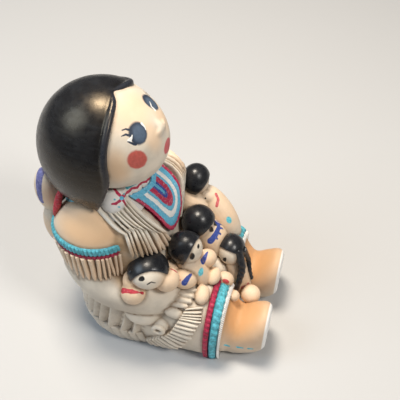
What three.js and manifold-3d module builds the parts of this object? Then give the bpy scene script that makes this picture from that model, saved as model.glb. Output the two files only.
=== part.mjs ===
// A pueblo storyteller figure: a seated woman with six children on her lap, arms and back.
// She is one solid casting. Millimetres, +Z up: she faces -Y, her left hand is towards +X,
// and she sits on Z = 0. The casting is centred on its footprint at the end.
import * as THREE from 'three';
import { mergeVertices } from 'three/addons/utils/BufferGeometryUtils.js';
import Module from 'manifold-3d';

const wasm = await Module();
wasm.setup();

// Driving sizes in millimetres
const HEIGHT = 76; // table to crown
const HAIR_RISE = 0.7; // how far hair stands out from a head
const BEAD_RISE = 0.7; // how far beaded bands stand out from the dress
const STRAND_RISE = 0.8; // crest of a cut strand of fringe above the dress
const STRIP_RISE = 0.65; // face of a broad strip of the skirt above the dress
const GROOVE_RISE = 0.12; // bottom of the grooves between strands
const UNDER = 0.4; // how far a plain body keeps below the surface that its fringe follows
const SINK = 1.2; // how deep a piece of carving starts below the skin that carries it

// The free forms are laid out on a figure 76 units high, so they follow its height
const UNIT = HEIGHT / 76;

const SIDES = [-1, 1]; // her right side, then her left
const CREAM = 0xe9d8c0;

// Her head: centres and radii in units, tilts in degrees about X
const HAIR = { centre: [0.5, 8.9, 58.2], radii: [15.3, 17, 17.8] };
const FACE = { centre: [0.5, 9.7, 62.8], radii: [13.1, 16.4, 13.3], tilt: 11.6 };
const NOSE = { bridge: [0.6, -0.2, 73.4], tip: [0.9, -5.6, 66.9], radius: 1.6 };
// The rounded rim of her hair beside the face, with its radius, from her right jaw to her crown
const HAIR_RIM = [
  [-12.7, 6.4, 50.6, 0.6], [-13.4, 4.6, 53.4, 0.75], [-13.4, 3.4, 57, 0.75], [-13.3, 3, 61.3, 0.75],
  [-12.4, 4, 65.8, 0.75], [-10.3, 4.6, 69.6, 0.75], [-6.5, 5, 72.9, 0.75], [-2.2, 5.2, 74.5, 0.7],
];
const PARTING = [0.5, 6.4, 74.8, 0.7]; // the rim's notch at the crown
const FACE_EDGE = 4.6; // the hair stops at this Y, and the face shows in front of it
const HAIR_TIP = 49.4; // height of the hair's points at her jaw
const HAIR_NAPE = 53.5; // height of its lower edge at the back
const HAIR_DEPTH = 20; // from its points to the back

// Sections up a form: height, front Y, back Y and half width
const TORSO = {
  power: 3.1,
  swell: { degrees: -52, height: 43.5, across: 24, high: 6.5, depth: 3.4 }, // her left breast
  rows: [
    [18, -9, 18.5, 16.5], [25, -9, 20, 16.5], [31, -7.8, 20.5, 16.5], [37, -7.3, 20.5, 16.7],
    [42, -6, 20, 16.2], [45.5, -3.6, 19, 14.2], [48.5, 0, 17.5, 11], [51, 3, 15.5, 8],
  ],
};
const SKIRT = {
  power: 2.3,
  rows: [
    [-1, -14.5, 17.2, 18.4], [0, -14.5, 17.4, 18.6], [5, -16, 19.2, 20], [11, -16, 19.2, 20],
    [17, -14, 18.8, 18.8], [27, -8, 18, 15],
  ],
};
// Sections along a leg: Y, distance from the midline, half width and top
const LEG = {
  power: 2.3,
  widest: 0.4, // share of its height where a section is widest
  rows: [
    [-2, 9.4, 10, 21], [-12, 9.4, 10.6, 22.5], [-20.7, 9.4, 10.3, 21.6],
    [-24.5, 9.6, 9, 19.2], [-27, 9.8, 7.2, 15],
  ],
};
const LEG_MIDLINE = -0.5; // her legs sit a little towards her right
const LEG_BAND = { from: -20.7, middle: -22.2, to: -24.4 };
const SHOE_ACROSS = 9.4; // from the midline to the middle of a moccasin
// Sections along a moccasin: Y, half width, bottom and top. Its flat sole faces forward
const SHOE = {
  power: 2.2,
  rows: [
    [-24, 7, -2, 11], [-28, 7, -2, 12], [-32, 6.8, -1.2, 15], [-35, 6.4, 0.3, 17.2], [-37.2, 5, 3.2, 16],
  ],
};

// Fringes on her dress. Angles are in degrees round the body from the front
const CAPE = {
  strands: 9,
  near: [[20, 49.4], [11, 37.3], [9, 30.8]], // strand beside the bib: root, first hem, second hem
  far: [[78, 49.6], [62, 44.8], [68, 39]], // strand nearest the shoulder
  stops: [[0, 0.3], [0.5, 0.5], [1, 0.5], [1, 0], [2, 0]], // place along a strand, and lift in millimetres
};
const BIB = { middle: 0.6, half: 7.2, top: 50, turn: 40, tip: 32.6, rise: 0.55 };
const YOKE = { bottom: 46.6, rise: 0.5 };
const KNOB = { across: 7.9, centre: [3.8, 49.8], radii: [3.1, 3, 2.9] }; // where the yoke meets her hair
const LAP = { centre: [0, -13, 16], radii: [13, 10, 7.5] }; // cloth between her thighs
const SLEEVE = {
  centre: [-10, 10.5, 39.5],
  radii: [9, 10.5, 9.5],
  hem: 40.1,
  strands: 14,
  fringe: 11, // its length, and how far it widens, moves forward and narrows for each unit down
  flare: 0.008,
  forward: 0.1,
  narrow: 0.012,
};
const SKIRT_FRINGE = {
  from: 72,
  to: 288,
  strips: 16,
  lean: 5, // degrees round the body between a strip's ends
  heights: [17, 6.6, 0],
  stops: [[0, 0.4], [1, 0.45], [1.02, 0], [2, 0]],
};
const FAN = {
  strands: 8,
  root: [[76, -12.5], [40, -11.5], [5, -9.5], [-25, -7.5], [-48, -3]],
  hem: [[80, -18.4], [52, -18.9], [12, -16.2], [-28, -11.5], [-52, -4.5]],
};

const place = ([x, y, z]) => new THREE.Vector3(x, y, z).multiplyScalar(UNIT);
const lerp = THREE.MathUtils.lerp;
const radians = THREE.MathUtils.degToRad;
const between = (a, b, share) => a.map((value, i) => lerp(value, b[i], share));

// A geometry as a solid that can be joined and cut
function solid(geometry) {
  const bare = new THREE.BufferGeometry();
  bare.setAttribute('position', geometry.attributes.position.clone());
  if (geometry.index) bare.setIndex(geometry.index.clone());
  const merged = mergeVertices(bare, 1e-4);
  const corners = merged.index.array;
  const kept = [];
  for (let i = 0; i < corners.length; i += 3) {
    const [a, b, c] = [corners[i], corners[i + 1], corners[i + 2]];
    if (a !== b && b !== c && c !== a) kept.push(a, b, c);
  }
  return new wasm.Manifold(new wasm.Mesh({
    numProp: 3,
    vertProperties: Float32Array.from(merged.attributes.position.array),
    triVerts: Uint32Array.from(kept),
  }));
}

const union = (solids) => solids.reduce((sum, next) => sum.add(next));

// A box between two corners, for cutting
function block(low, high) {
  const size = high.clone().sub(low);
  const box = new THREE.BoxGeometry(size.x, size.y, size.z);
  box.translate(low.x + size.x / 2, low.y + size.y / 2, low.z + size.z / 2);
  return solid(box);
}

// An egg: a ball stretched to three radii and turned in degrees about X
function egg({ centre, radii, tilt = 0, grow = 0, around = 16, high = 10 }) {
  const ball = new THREE.SphereGeometry(1, around, high);
  ball.rotateX(Math.PI / 2);
  ball.scale(...radii.map((r) => r * UNIT + grow));
  ball.rotateX(THREE.MathUtils.degToRad(tilt));
  const c = place(centre);
  ball.translate(c.x, c.y, c.z);
  return solid(ball);
}

// A pod: an egg whose long axis runs from one point to another
function pod(from, to, thick, { around = 6, high = 5 } = {}) {
  const [a, b] = [place(from), place(to)];
  const length = a.distanceTo(b) / 2;
  const ball = new THREE.SphereGeometry(1, around, high);
  ball.scale(thick * UNIT, length, thick * UNIT);
  const turn = new THREE.Quaternion().setFromUnitVectors(
    new THREE.Vector3(0, 1, 0),
    b.clone().sub(a).normalize(),
  );
  ball.applyQuaternion(turn);
  const middle = a.add(b).divideScalar(2);
  ball.translate(middle.x, middle.y, middle.z);
  return solid(ball);
}

// Rings of points joined by a closed skin, with a middle point at each end
function skin(rings) {
  const sides = rings[0].length;
  const points = rings.flat();
  const middle = (ring) => ring.reduce((sum, p) => sum.add(p), new THREE.Vector3()).divideScalar(sides);
  const first = points.push(middle(rings[0])) - 1;
  const last = points.push(middle(rings[rings.length - 1])) - 1;
  const faces = [];
  for (let r = 0; r + 1 < rings.length; r++) {
    for (let s = 0; s < sides; s++) {
      const a = r * sides + s;
      const b = r * sides + ((s + 1) % sides);
      faces.push(a, b, b + sides, a, b + sides, a + sides);
    }
  }
  const end = (rings.length - 1) * sides;
  for (let s = 0; s < sides; s++) {
    const next = (s + 1) % sides;
    faces.push(first, next, s);
    faces.push(last, end + s, end + next);
  }
  let volume = 0;
  for (let i = 0; i < faces.length; i += 3) {
    const [a, b, c] = [points[faces[i]], points[faces[i + 1]], points[faces[i + 2]]];
    volume += a.dot(b.clone().cross(c));
  }
  if (volume < 0) faces.reverse(); // the rings ran the other way round
  const shape = new THREE.BufferGeometry();
  shape.setAttribute('position', new THREE.Float32BufferAttribute(points.flatMap((p) => p.toArray()), 3));
  shape.setIndex(faces);
  return solid(shape);
}

// A limb: a round tube along a smooth path, as thick at each stop as its fourth number says
function limb(stops, { sides = 12, steps = 10 } = {}) {
  const path = new THREE.CatmullRomCurve3(stops.map((stop) => place(stop)));
  const frames = path.computeFrenetFrames(steps, false);
  const rings = [];
  for (let i = 0; i <= steps; i++) {
    const along = (i / steps) * (stops.length - 1);
    const k = Math.min(Math.floor(along), stops.length - 2);
    const radius = lerp(stops[k][3], stops[k + 1][3], along - k) * UNIT;
    const centre = path.getPoint(i / steps);
    rings.push(Array.from({ length: sides }, (_, s) => {
      const angle = (2 * Math.PI * s) / sides;
      return centre.clone()
        .addScaledVector(frames.normals[i], radius * Math.cos(angle))
        .addScaledVector(frames.binormals[i], radius * Math.sin(angle));
    }));
  }
  return skin(rings);
}

const rounded = (v, power) => Math.sign(v) * Math.abs(v) ** (2 / power);

// The row of a form at a height, between its listed rows
function rowAt(rows, key) {
  const rising = rows[1][0] > rows[0][0] ? 1 : -1;
  let k = rows.findIndex((row) => (row[0] - key) * rising >= 0);
  k = THREE.MathUtils.clamp(k < 0 ? rows.length - 1 : k, 1, rows.length - 1);
  const share = (key - rows[k - 1][0]) / (rows[k][0] - rows[k - 1][0]);
  return rows[k].map((value, i) => lerp(rows[k - 1][i], value, share));
}

// How far a form swells forwards at a place
function swellAt({ swell }, height, degrees) {
  if (!swell) return 0;
  const aside = (degrees - swell.degrees) / swell.across;
  const up = (height - swell.height) / swell.high;
  return swell.depth * Math.exp(-aside * aside - up * up);
}

// A point on a form at a height and at an angle from the front, positive towards her right
function onForm(form, height, degrees, lift = 0) {
  const [, front, back, half] = rowAt(form.rows, height);
  const angle = radians(degrees);
  const across = -rounded(Math.sin(angle), form.power);
  const forward = rounded(Math.cos(angle), form.power);
  const ahead = ((back - front) / 2) * forward + swellAt(form, height, degrees);
  const p = place([half * across, (front + back) / 2 - ahead, height]);
  return p.add(new THREE.Vector3(lift * across, -lift * forward, 0));
}

// The closed body of a form, grown outwards by some millimetres
function body(form, { around = 24, grow = 0 } = {}) {
  return skin(form.rows.map(([height]) => Array.from({ length: around }, (_, i) => (
    onForm(form, height, -(360 * i) / around, grow)
  ))));
}

// Strands lying side by side on a surface, closed underneath. The surface is asked for a point
// and its outward direction at a share of the way across the strands and at a place along them.
// Each stop along them says where it is and how far the strands stand clear of the surface there
function pleats(strands, surface, stops, { rise, flat = false }) {
  const profile = flat ? [[0, 0], [0.16, 1], [0.84, 1]] : [[0, 0], [0.5, 1]];
  const columns = [];
  for (let i = 0; i < strands; i++) {
    profile.forEach(([offset, crest]) => columns.push([(i + offset) / strands, crest]));
  }
  columns.push([1, 0]);
  return skin(columns.map(([across, crest]) => {
    const top = [];
    const under = [];
    stops.forEach(([along, lift]) => {
      const { point, out } = surface(across, along);
      top.push(point.clone().addScaledVector(out, lift + GROOVE_RISE + crest * rise));
      under.unshift(point.clone().addScaledVector(out, -SINK));
    });
    return [...top, ...under];
  }));
}

// A surface point on a form with its outward direction
function formPoint(form, height, degrees) {
  const point = onForm(form, height, degrees);
  const aside = onForm(form, height, degrees + 2).sub(onForm(form, height, degrees - 2));
  const up = onForm(form, height + 1, degrees).sub(onForm(form, height - 1, degrees));
  return { point, out: up.cross(aside).normalize() };
}

// Her head: a face in front, and a helmet of hair behind it that comes to a point at each jaw
function head() {
  const far = 2 * HEIGHT;
  const edge = FACE_EDGE * UNIT;
  const overlap = 3 * UNIT; // the face reaches this far back into the hair
  const face = egg({ ...FACE, around: 20, high: 12 })
    .intersect(block(new THREE.Vector3(-far, -far, -far), new THREE.Vector3(far, edge + overlap, far)));
  const hair = egg({ ...HAIR, around: 24, high: 13 })
    .intersect(block(new THREE.Vector3(-far, edge, -far), new THREE.Vector3(far, far, far)));
  const under = new THREE.BoxGeometry(far, far, far);
  under.translate(0, 0, -far / 2);
  under.rotateX(Math.atan2(HAIR_NAPE - HAIR_TIP, HAIR_DEPTH));
  const hinge = place([0, FACE_EDGE, HAIR_TIP]);
  under.translate(hinge.x, hinge.y, hinge.z);
  const nose = pod(NOSE.bridge, NOSE.tip, NOSE.radius, { around: 10, high: 8 });
  const acrossCrown = ([x, ...rest]) => [2 * PARTING[0] - x, ...rest];
  const rim = limb([...HAIR_RIM, PARTING, ...HAIR_RIM.map(acrossCrown).reverse()], { sides: 4, steps: 16 });
  return [face, hair.subtract(solid(under)), nose, rim];
}

// The raised bib on her chest, U-shaped, and the yoke round her neck
function bib() {
  const outline = new THREE.Shape();
  const [middle, half, top, turn, tip] = ['middle', 'half', 'top', 'turn', 'tip'].map((k) => BIB[k] * UNIT);
  const round = tip + 0.2 * (turn - tip);
  outline.moveTo(middle - half, top);
  outline.lineTo(middle + half, top);
  outline.lineTo(middle + half, turn);
  outline.quadraticCurveTo(middle + half * 0.8, round, middle, tip);
  outline.quadraticCurveTo(middle - half * 0.8, round, middle - half, turn);
  const depth = 20 * UNIT;
  const prism = new THREE.ExtrudeGeometry(outline, { depth, bevelEnabled: false, curveSegments: 6 });
  prism.rotateX(Math.PI / 2);
  prism.translate(0, 4 * UNIT, 0);
  return body(TORSO, { grow: BIB.rise }).intersect(solid(prism));
}

function yoke() {
  const far = 2 * HEIGHT;
  const above = block(new THREE.Vector3(-far, -far, YOKE.bottom * UNIT), new THREE.Vector3(far, far, far));
  const knobs = SIDES.map((side) => egg({
    centre: [side * KNOB.across, ...KNOB.centre],
    radii: KNOB.radii,
    around: 7,
    high: 5,
  }));
  return union([body(TORSO, { grow: YOKE.rise }).intersect(above), ...knobs]);
}

// A place on a bent line of points, at a share of the way along
function onLine(points, share) {
  const k = Math.min(Math.floor(share * (points.length - 1)), points.length - 2);
  return between(points[k], points[k + 1], share * (points.length - 1) - k);
}

// Two tiers of strands hang from the yoke down each side of her chest
function cape(side) {
  return pleats(CAPE.strands, (across, along) => {
    const [degrees, height] = between(onLine(CAPE.near, along / 2), onLine(CAPE.far, along / 2), across);
    return formPoint(TORSO, height, side * -degrees);
  }, CAPE.stops, { rise: STRAND_RISE });
}

const onSide = (side, [x, ...rest]) => [-side * x, ...rest];

// A place round a sleeve: degrees from the front towards the outside, and how far below its hem
function onSleeve(side, degrees, down, lift = 0) {
  const { centre, radii, hem } = SLEEVE;
  const angle = radians(degrees);
  const height = hem - down;
  const above = Math.max(height - centre[2], 0) / radii[2];
  const spread = Math.sqrt(1 - above * above);
  const along = Math.max(down, 0);
  const out = new THREE.Vector3(side * Math.sin(angle), -Math.cos(angle), 0);
  const point = place([
    side * (radii[0] * spread * Math.sin(angle) * (1 + SLEEVE.flare * along) - centre[0]),
    centre[1] - SLEEVE.forward * along
      - radii[1] * spread * Math.cos(angle) * (1 - SLEEVE.narrow * along),
    height,
  ]);
  return { point: point.addScaledVector(out, lift), out };
}

// A closed ring round a sleeve, between two distances down from its hem
function sleeveRing(side, from, to, rise) {
  const around = 16;
  const ring = (down) => Array.from({ length: around }, (_, i) => (
    onSleeve(side, (360 * i) / around, down, rise).point
  ));
  return skin([ring(from), ring(to)]);
}

// A shoulder under its smooth sleeve, with a hem of two beaded bands and a ribbed fringe
function sleeve(side) {
  const { centre, radii, fringe, strands } = SLEEVE;
  const cap = egg({ centre: onSide(side, centre), radii, around: 12, high: 7 });
  const surface = (across, along) => onSleeve(side, lerp(-40, 200, across), lerp(2, fringe, along));
  return [
    cap,
    sleeveRing(side, 0, fringe - 0.6, -UNDER),
    sleeveRing(side, -1.2, 1.1, BEAD_RISE),
    sleeveRing(side, 1.1, 2.5, BEAD_RISE * 0.7),
    pleats(strands, surface, [[0, 0], [1, 0]], { rise: STRAND_RISE }),
  ];
}

function arm(side) {
  const stops = [
    [-11.5, 10, 40, 7.6], [-12.8, 11.5, 30, 7.4], [-15, 6.5, 24.2, 7.2], [-15.6, 0.5, 22.6, 7],
    [-13.7, -5.7, 20.6, 6.3], [-10.5, -10.5, 19.6, 5.2], [-8.7, -14.5, 19.4, 3.4],
  ];
  return limb(stops.map((stop) => onSide(side, stop)), { sides: 11, steps: 9 });
}

// A leg section at a Y, grown by some millimetres
function legRing(side, y, grow, around) {
  const [, across, half, top] = rowAt(LEG.rows, y);
  const middle = place([LEG_MIDLINE + side * across, y, top * LEG.widest]);
  return Array.from({ length: around }, (_, i) => {
    const angle = (2 * Math.PI * i) / around;
    return new THREE.Vector3(
      middle.x + (half * UNIT + grow) * rounded(Math.cos(angle), LEG.power),
      middle.y,
      middle.z + (top * (1 - LEG.widest) * UNIT + grow) * rounded(Math.sin(angle), LEG.power),
    );
  });
}

function leg(side) {
  const around = 16;
  return [
    skin(LEG.rows.map(([y]) => legRing(side, y, -UNDER, around))),
    skin([LEG_BAND.from, LEG_BAND.middle].map((y) => legRing(side, y, BEAD_RISE, around))),
    skin([LEG_BAND.middle, LEG_BAND.to].map((y) => legRing(side, y, BEAD_RISE * 1.4, around))),
  ];
}

// A moccasin with its toe up and its flat sole forward
function shoe(side) {
  const around = 12;
  return skin(SHOE.rows.map(([y, half, low, top]) => Array.from({ length: around }, (_, i) => {
    const angle = (2 * Math.PI * i) / around;
    return place([
      LEG_MIDLINE + side * SHOE_ACROSS + half * rounded(Math.cos(angle), SHOE.power),
      y,
      (low + top) / 2 + ((top - low) / 2) * rounded(Math.sin(angle), SHOE.power),
    ]);
  })));
}

// Broad strips round the skirt: they spread to its widest line, then fold and tuck in below
function skirtFringe() {
  const { from, to, strips, lean, heights, stops } = SKIRT_FRINGE;
  return pleats(strips, (across, along) => {
    const degrees = lerp(from, to, across);
    const side = THREE.MathUtils.clamp((180 - degrees) / 50, -1, 1);
    const sway = side * lean * (0.5 - Math.abs(along - 1));
    const [height] = onLine(heights.map((value) => [value]), along / 2);
    return formPoint(SKIRT, height, degrees + sway);
  }, stops, { rise: STRIP_RISE, flat: true });
}

// A point round a thigh: degrees up from its outer side, and Y
function onLeg(side, degrees, y) {
  const at = (angle, along) => {
    const [, across, half, top] = rowAt(LEG.rows, along);
    return place([
      LEG_MIDLINE + side * (across + half * rounded(Math.cos(radians(angle)), LEG.power)),
      along,
      top * (LEG.widest + (1 - LEG.widest) * rounded(Math.sin(radians(angle)), LEG.power)),
    ]);
  };
  const up = at(degrees + 2, y).sub(at(degrees - 2, y));
  const back = at(degrees, y + 1).sub(at(degrees, y - 1));
  return { point: at(degrees, y), out: back.cross(up).multiplyScalar(side).normalize() };
}

// A fan of strands over each thigh, spreading to a curved hem from a ring-shaped knot
function thighFan(side) {
  const fan = pleats(FAN.strands, (across, along) => {
    const [degrees, y] = between(onLine(FAN.root, across), onLine(FAN.hem, across), along);
    return onLeg(side, degrees, y);
  }, [[0, 0], [1, 0]], { rise: STRAND_RISE });
  const ring = new THREE.TorusGeometry(1.25 * UNIT, 0.6 * UNIT, 4, 8);
  ring.rotateY(Math.PI / 2);
  const centre = place(onSide(side, [-20.6, -8.7, 13.8]));
  ring.translate(centre.x, centre.y, centre.z);
  return [
    fan,
    solid(ring),
    egg({ centre: onSide(side, [-19.2, -8.7, 13.6]), radii: [1.7, 2.6, 2.5], around: 6, high: 5 }),
    pod(onSide(side, [-17.4, -9.6, 15.8]), onSide(side, [-15, -14.4, 16.6]), 1.7),
    egg({ centre: onSide(side, [-18.4, -3.4, 16]), radii: [3.2, 5, 3.4], around: 8, high: 6 }),
  ];
}

// The six children. Each has a head, a cap of hair that leaves the face bare, and soft pods
const CHILDREN = {
  inRightArm: {
    head: { centre: [-14.8, -4.9, 32], radii: [5.2, 5, 4.3], face: [-0.82, -0.42, -0.38], cut: 0.05 },
    pods: [
      [[-13.4, -8.6, 27.2], [-11.4, -10.4, 27.2], 3.4],
      [[-11.3, -12, 26], [-9.4, -14.6, 24], 2.9],
      [[-19.4, -2.9, 26.4], [-18, -0.5, 26.4], 3.4],
      [[-18.4, -1.2, 28], [-16.6, -0.8, 31], 2.2],
      [[-10.2, -13, 24.6], [-6.8, -15.4, 21.6], 1.9],
      [[-14.5, 0, 27], [-8, -11, 23], 4.6],
    ],
  },
  onRightKnee: {
    head: { centre: [-5.1, -12.1, 31.4], radii: [4, 4.5, 4.5], face: [-0.3, -0.9, -0.3], cut: 0.25 },
    pods: [
      [[-4.2, -16.4, 26.6], [-2.2, -18.2, 25.4], 2.6],
      [[-6.5, -12, 29], [-6.5, -17.5, 20.5], 3.6],
      [[-4.6, -20.2, 23], [-7.4, -20, 22], 1.9],
      [[-10.6, -18.3, 22], [-13.6, -18.5, 21.4], 2.1],
    ],
  },
  onLap: {
    head: { centre: [5.2, -12.8, 30.1], radii: [4.4, 4.4, 4.6], face: [0.05, -0.97, -0.2], cut: 0.3 },
    pods: [
      [[5.5, -13.5, 29], [4.5, -19.5, 21], 4.4],
      [[3, -17, 27.6], [8, -17.5, 25], 1.8],
    ],
  },
  betweenKnees: {
    head: { centre: [3.4, -22.7, 23.2], radii: [4.2, 3.6, 4.2], face: [-0.75, 0.2, -0.6], cut: 0.1 },
    pods: [
      [[3.4, -23, 20.5], [0.5, -27.5, 9], 3.6],
      [[-4.6, -22, 19.8], [-3.4, -23.8, 18.2], 2.3],
      [[-7.4, -25.6, 16.8], [-6.4, -26.6, 16], 1.7],
      [[-3.2, -29.4, 12.4], [-1.8, -31.2, 12], 2.8],
    ],
    braids: [
      [[2.2, -24.6, 25.5, 1.4], [0.2, -26.6, 20.7, 1.3], [-1.6, -26.7, 17.6, 1.1], [-3.2, -26.2, 13.2, 0.85]],
      [[3.2, -26.2, 25, 1], [4.2, -27.7, 19.3, 0.9], [2.6, -28.6, 16.3, 0.85], [2, -29.6, 13.3, 0.8]],
    ],
  },
  inLeftArm: {
    head: { centre: [15.7, -9.2, 35.2], radii: [4.1, 3.7, 4.5], face: [-0.1, -0.8, -0.6], cut: 0.3 },
    pods: [
      [[13.6, -12.6, 31.8], [16.2, -16.6, 27.2], 2.5],
      [[15.5, -12.5, 31], [12, -21.5, 19.5], 4.2],
      [[13.5, -4, 31], [12.5, -12, 28], 4.6],
    ],
  },
  onBack: {
    head: { centre: [4.2, 24.2, 44.4], radii: [4.4, 3.9, 4.4], face: [0.1, 0.85, -0.5], cut: 0.1 },
    pods: [
      [[-6.6, 23.6, 51], [-7.2, 22.6, 41], 3.5],
      [[-8, 22.8, 40], [-9, 21.4, 30], 3.4],
      [[3, 21.5, 43], [-9.5, 19.6, 31], 5],
      [[-10.2, 17.8, 51], [-12.4, 19.6, 43.4], 1],
    ],
  },
};

const POD_REACH = 0.6; // how far a pod runs past its two points, as a share of its radius

function child({ head: { centre, radii, face, cut }, pods, braids = [] }) {
  const skull = egg({ centre, radii, around: 8, high: 6 });
  const away = new THREE.Vector3(...face).normalize();
  const size = 30 * UNIT;
  const front = new THREE.BoxGeometry(size, size, size);
  front.translate(0, 0, size / 2);
  front.applyQuaternion(new THREE.Quaternion().setFromUnitVectors(new THREE.Vector3(0, 0, 1), away));
  const edge = place(centre).addScaledVector(away, cut * radii[1] * UNIT);
  front.translate(edge.x, edge.y, edge.z);
  const hair = egg({ centre, radii, grow: HAIR_RISE * 0.6, around: 9, high: 6 }).subtract(solid(front));
  return [
    skull,
    hair,
    ...pods.map(([from, to, thick]) => {
      const start = new THREE.Vector3(...from);
      const end = new THREE.Vector3(...to);
      const reach = end.clone().sub(start).setLength(thick * POD_REACH);
      return pod(start.sub(reach).toArray(), end.add(reach).toArray(), thick);
    }),
    ...braids.map((stops) => limb(stops, { sides: 5, steps: 4 })),
  ];
}

const parts = [
  ...head(),
  body(TORSO, { grow: -UNDER }),
  body(SKIRT, { grow: -UNDER }),
  egg({ ...LAP, around: 14, high: 8 }),
  bib(),
  yoke(),
  skirtFringe(),
  ...SIDES.flatMap((side) => [
    cape(side), ...sleeve(side), arm(side), ...leg(side), shoe(side), ...thighFan(side),
  ]),
  ...Object.values(CHILDREN).flatMap(child),
];

// Everything below the table is cut away, so that she sits flat
const low = new THREE.Vector3(-3 * HEIGHT, -3 * HEIGHT, -HEIGHT);
const high = new THREE.Vector3(3 * HEIGHT, 3 * HEIGHT, 0);
const [cast] = union(parts).subtract(block(low, high)).decompose()
  .sort((a, b) => b.volume() - a.volume()); // leaves out pinholes closed inside

// The cast as a geometry whose footprint is centred on the origin
function centred(manifold) {
  const { vertProperties, triVerts } = manifold.getMesh();
  const geometry = new THREE.BufferGeometry();
  geometry.setAttribute('position', new THREE.Float32BufferAttribute(vertProperties, 3));
  geometry.setIndex(new THREE.Uint32BufferAttribute(triVerts, 1));
  geometry.computeBoundingBox();
  const middle = geometry.boundingBox.getCenter(new THREE.Vector3());
  geometry.translate(-middle.x, -middle.y, 0);
  return geometry;
}

const figure = new THREE.Mesh(
  centred(cast),
  new THREE.MeshStandardMaterial({ color: CREAM, roughness: 0.75, metalness: 0 }),
);
figure.name = 'storyteller_figure';

const group = new THREE.Group();
group.add(figure);

export default group;
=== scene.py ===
import math
import random

import bmesh
import bpy
import numpy as np
from mathutils import Matrix, Vector, kdtree
from mathutils.bvhtree import BVHTree


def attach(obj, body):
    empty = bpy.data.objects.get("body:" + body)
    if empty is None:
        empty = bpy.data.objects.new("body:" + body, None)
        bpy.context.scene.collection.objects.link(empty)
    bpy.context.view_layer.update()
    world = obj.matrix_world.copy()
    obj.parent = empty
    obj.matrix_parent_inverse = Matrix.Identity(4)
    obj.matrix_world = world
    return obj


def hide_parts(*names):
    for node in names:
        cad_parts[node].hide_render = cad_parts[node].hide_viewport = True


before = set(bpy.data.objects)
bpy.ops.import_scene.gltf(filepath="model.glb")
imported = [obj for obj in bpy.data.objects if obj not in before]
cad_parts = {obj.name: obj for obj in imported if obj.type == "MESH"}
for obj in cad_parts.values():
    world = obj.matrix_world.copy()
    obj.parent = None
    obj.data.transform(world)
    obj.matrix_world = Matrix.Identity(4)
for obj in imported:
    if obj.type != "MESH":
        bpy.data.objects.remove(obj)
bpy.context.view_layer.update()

NODE = "storyteller_figure"
MM = 0.001
ORIGIN = Vector((-0.1315, 4.55, 0))  # where the layout's own origin lies from the model's, in mm
SIDES = (-1, 1)  # her right side, then her left


class Sizes(dict):
    """Named sizes, each read as an attribute."""

    __getattr__ = dict.__getitem__


# The camera, in layout millimetres, and its frame of 400 x 400 dots
EYE = Vector((-97.7985, -39.54, 163.83))
RIGHT = Vector((0.2578, -0.9662, 0.0083))
UP = Vector((0.733, 0.2012, 0.6497))
AHEAD = Vector((0.6293, 0.1614, -0.7602))
LENS = 55.87
SENSOR = 36
FRAME = 400

# Paints
CREAM = (0.75, 0.67, 0.56)
# Cream painted lighter for the cape, to make up for the shadow of her head on it
CAPE_CREAM_LIGHTENED = (0.86, 0.79, 0.68)
PEACH = (0.82, 0.53, 0.30)
# Brown wash, with which shade is also painted in hollows and where pieces touch
WASH_AND_SHADE = (0.19, 0.105, 0.045)
DUST = (0.86, 0.84, 0.80)
BLACK = (0.008, 0.008, 0.009)
NAVY = (0.022, 0.033, 0.06)
SLATE = (0.075, 0.11, 0.17)
WHITE = (0.86, 0.85, 0.83)
CRIMSON = (0.48, 0.03, 0.085)
RED = (0.52, 0.04, 0.06)
BRICK = (0.55, 0.115, 0.09)
ROSE = (0.60, 0.12, 0.13)
TURQUOISE = (0.13, 0.56, 0.68)
SKY = (0.13, 0.47, 0.68)
ROYAL = (0.035, 0.07, 0.32)
TAN = (0.64, 0.36, 0.17)
GOLD = (0.42, 0.25, 0.11)
# A dull brown painted as shade under her forearms
UNDERARM_SHADE = (0.36, 0.30, 0.24)
SHEEN = (1.0, 0.8, 0.55)
LILAC = (0.14, 0.15, 0.36)
RUBBED_BLACK = (0.016, 0.017, 0.019)
# Convex edges of hair: rubbed paint, and a painted bluish sheen
EDGE_WEAR_AND_SHEEN = (0.05, 0.06, 0.085)
# Dark blue wash, which also paints shade in the bib's hollows
BLUE_WASH_AND_SHADE = (0.05, 0.06, 0.12)

# Carving, in mm
STRAND_RISE = 1.05  # crest of a strand of fringe above the dress
STRIP_RISE = 1.1  # the same of a strip of the skirt
ROOT_DEPTH = 0.6  # how deep a strand starts below the dress
UNDER = 0.4  # how far the plain body keeps below the dress that the fringe follows
BEAD_RISE = 0.7
GRAIN_DEPTH = 0.05  # the clay's fine grain
# Each casting's voxel in mm, and its rounds of smoothing
CASTING = {"hair": (0.28, 3), "face": (0.26, 14), "dress": (0.42, 6), "knots": (0.2, 3), "yoke": (0.26, 4),
           "moccasins": (0.28, 3), "child": (0.22, 5), "child_hair": (0.2, 4)}

# Her head
MIDLINE = 0.6  # X of the middle of her face
FAR_EYE_SHIFT = Vector((-1.4, 0, 1.1))  # how far her left eye lies from a mirrored one
HAIR = Sizes(centre=(0.5, 8.9, 58.2), radii=(15.3, 17, 17.8))
FACE = Sizes(centre=(0.5, 9.7, 62.8), radii=(13.1, 16.4, 13.3), tilt=11.6)
# The hair's front edge seen from the side: height and Y
HAIR_FRONT = ((48, 8.4), (50.6, 7.4), (53.4, 6.3), (57, 5), (61.3, 3.8), (65.8, 4.2), (69.8, 4.4),
              (73.5, 4.4), (77, 4.8))
NOTCH = Sizes(heights=(70, 74), half=4, depth=1.4)  # where her hair parts at the crown
HAIR_RIM = ((-13, 7.6, 50.1, 0.5), (-13.5, 6.3, 53.4, 0.75), (-13.5, 5, 57, 0.85),
            (-13.4, 3.8, 61.3, 0.9), (-12.5, 4.2, 65.8, 0.9), (-10.4, 4.4, 69.6, 0.9),
            (-6.6, 4.4, 72.9, 0.9), (-2.4, 4.8, 74.6, 0.85))
PARTING = (0.5, 6, 74.9, 0.75)
# Her face sinks by a share from just in front of the hair's edge, and ends inside the hair
FACE_EDGE = Sizes(gap=(-0.3, 0.8), sink=0.06, back=11)
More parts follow.
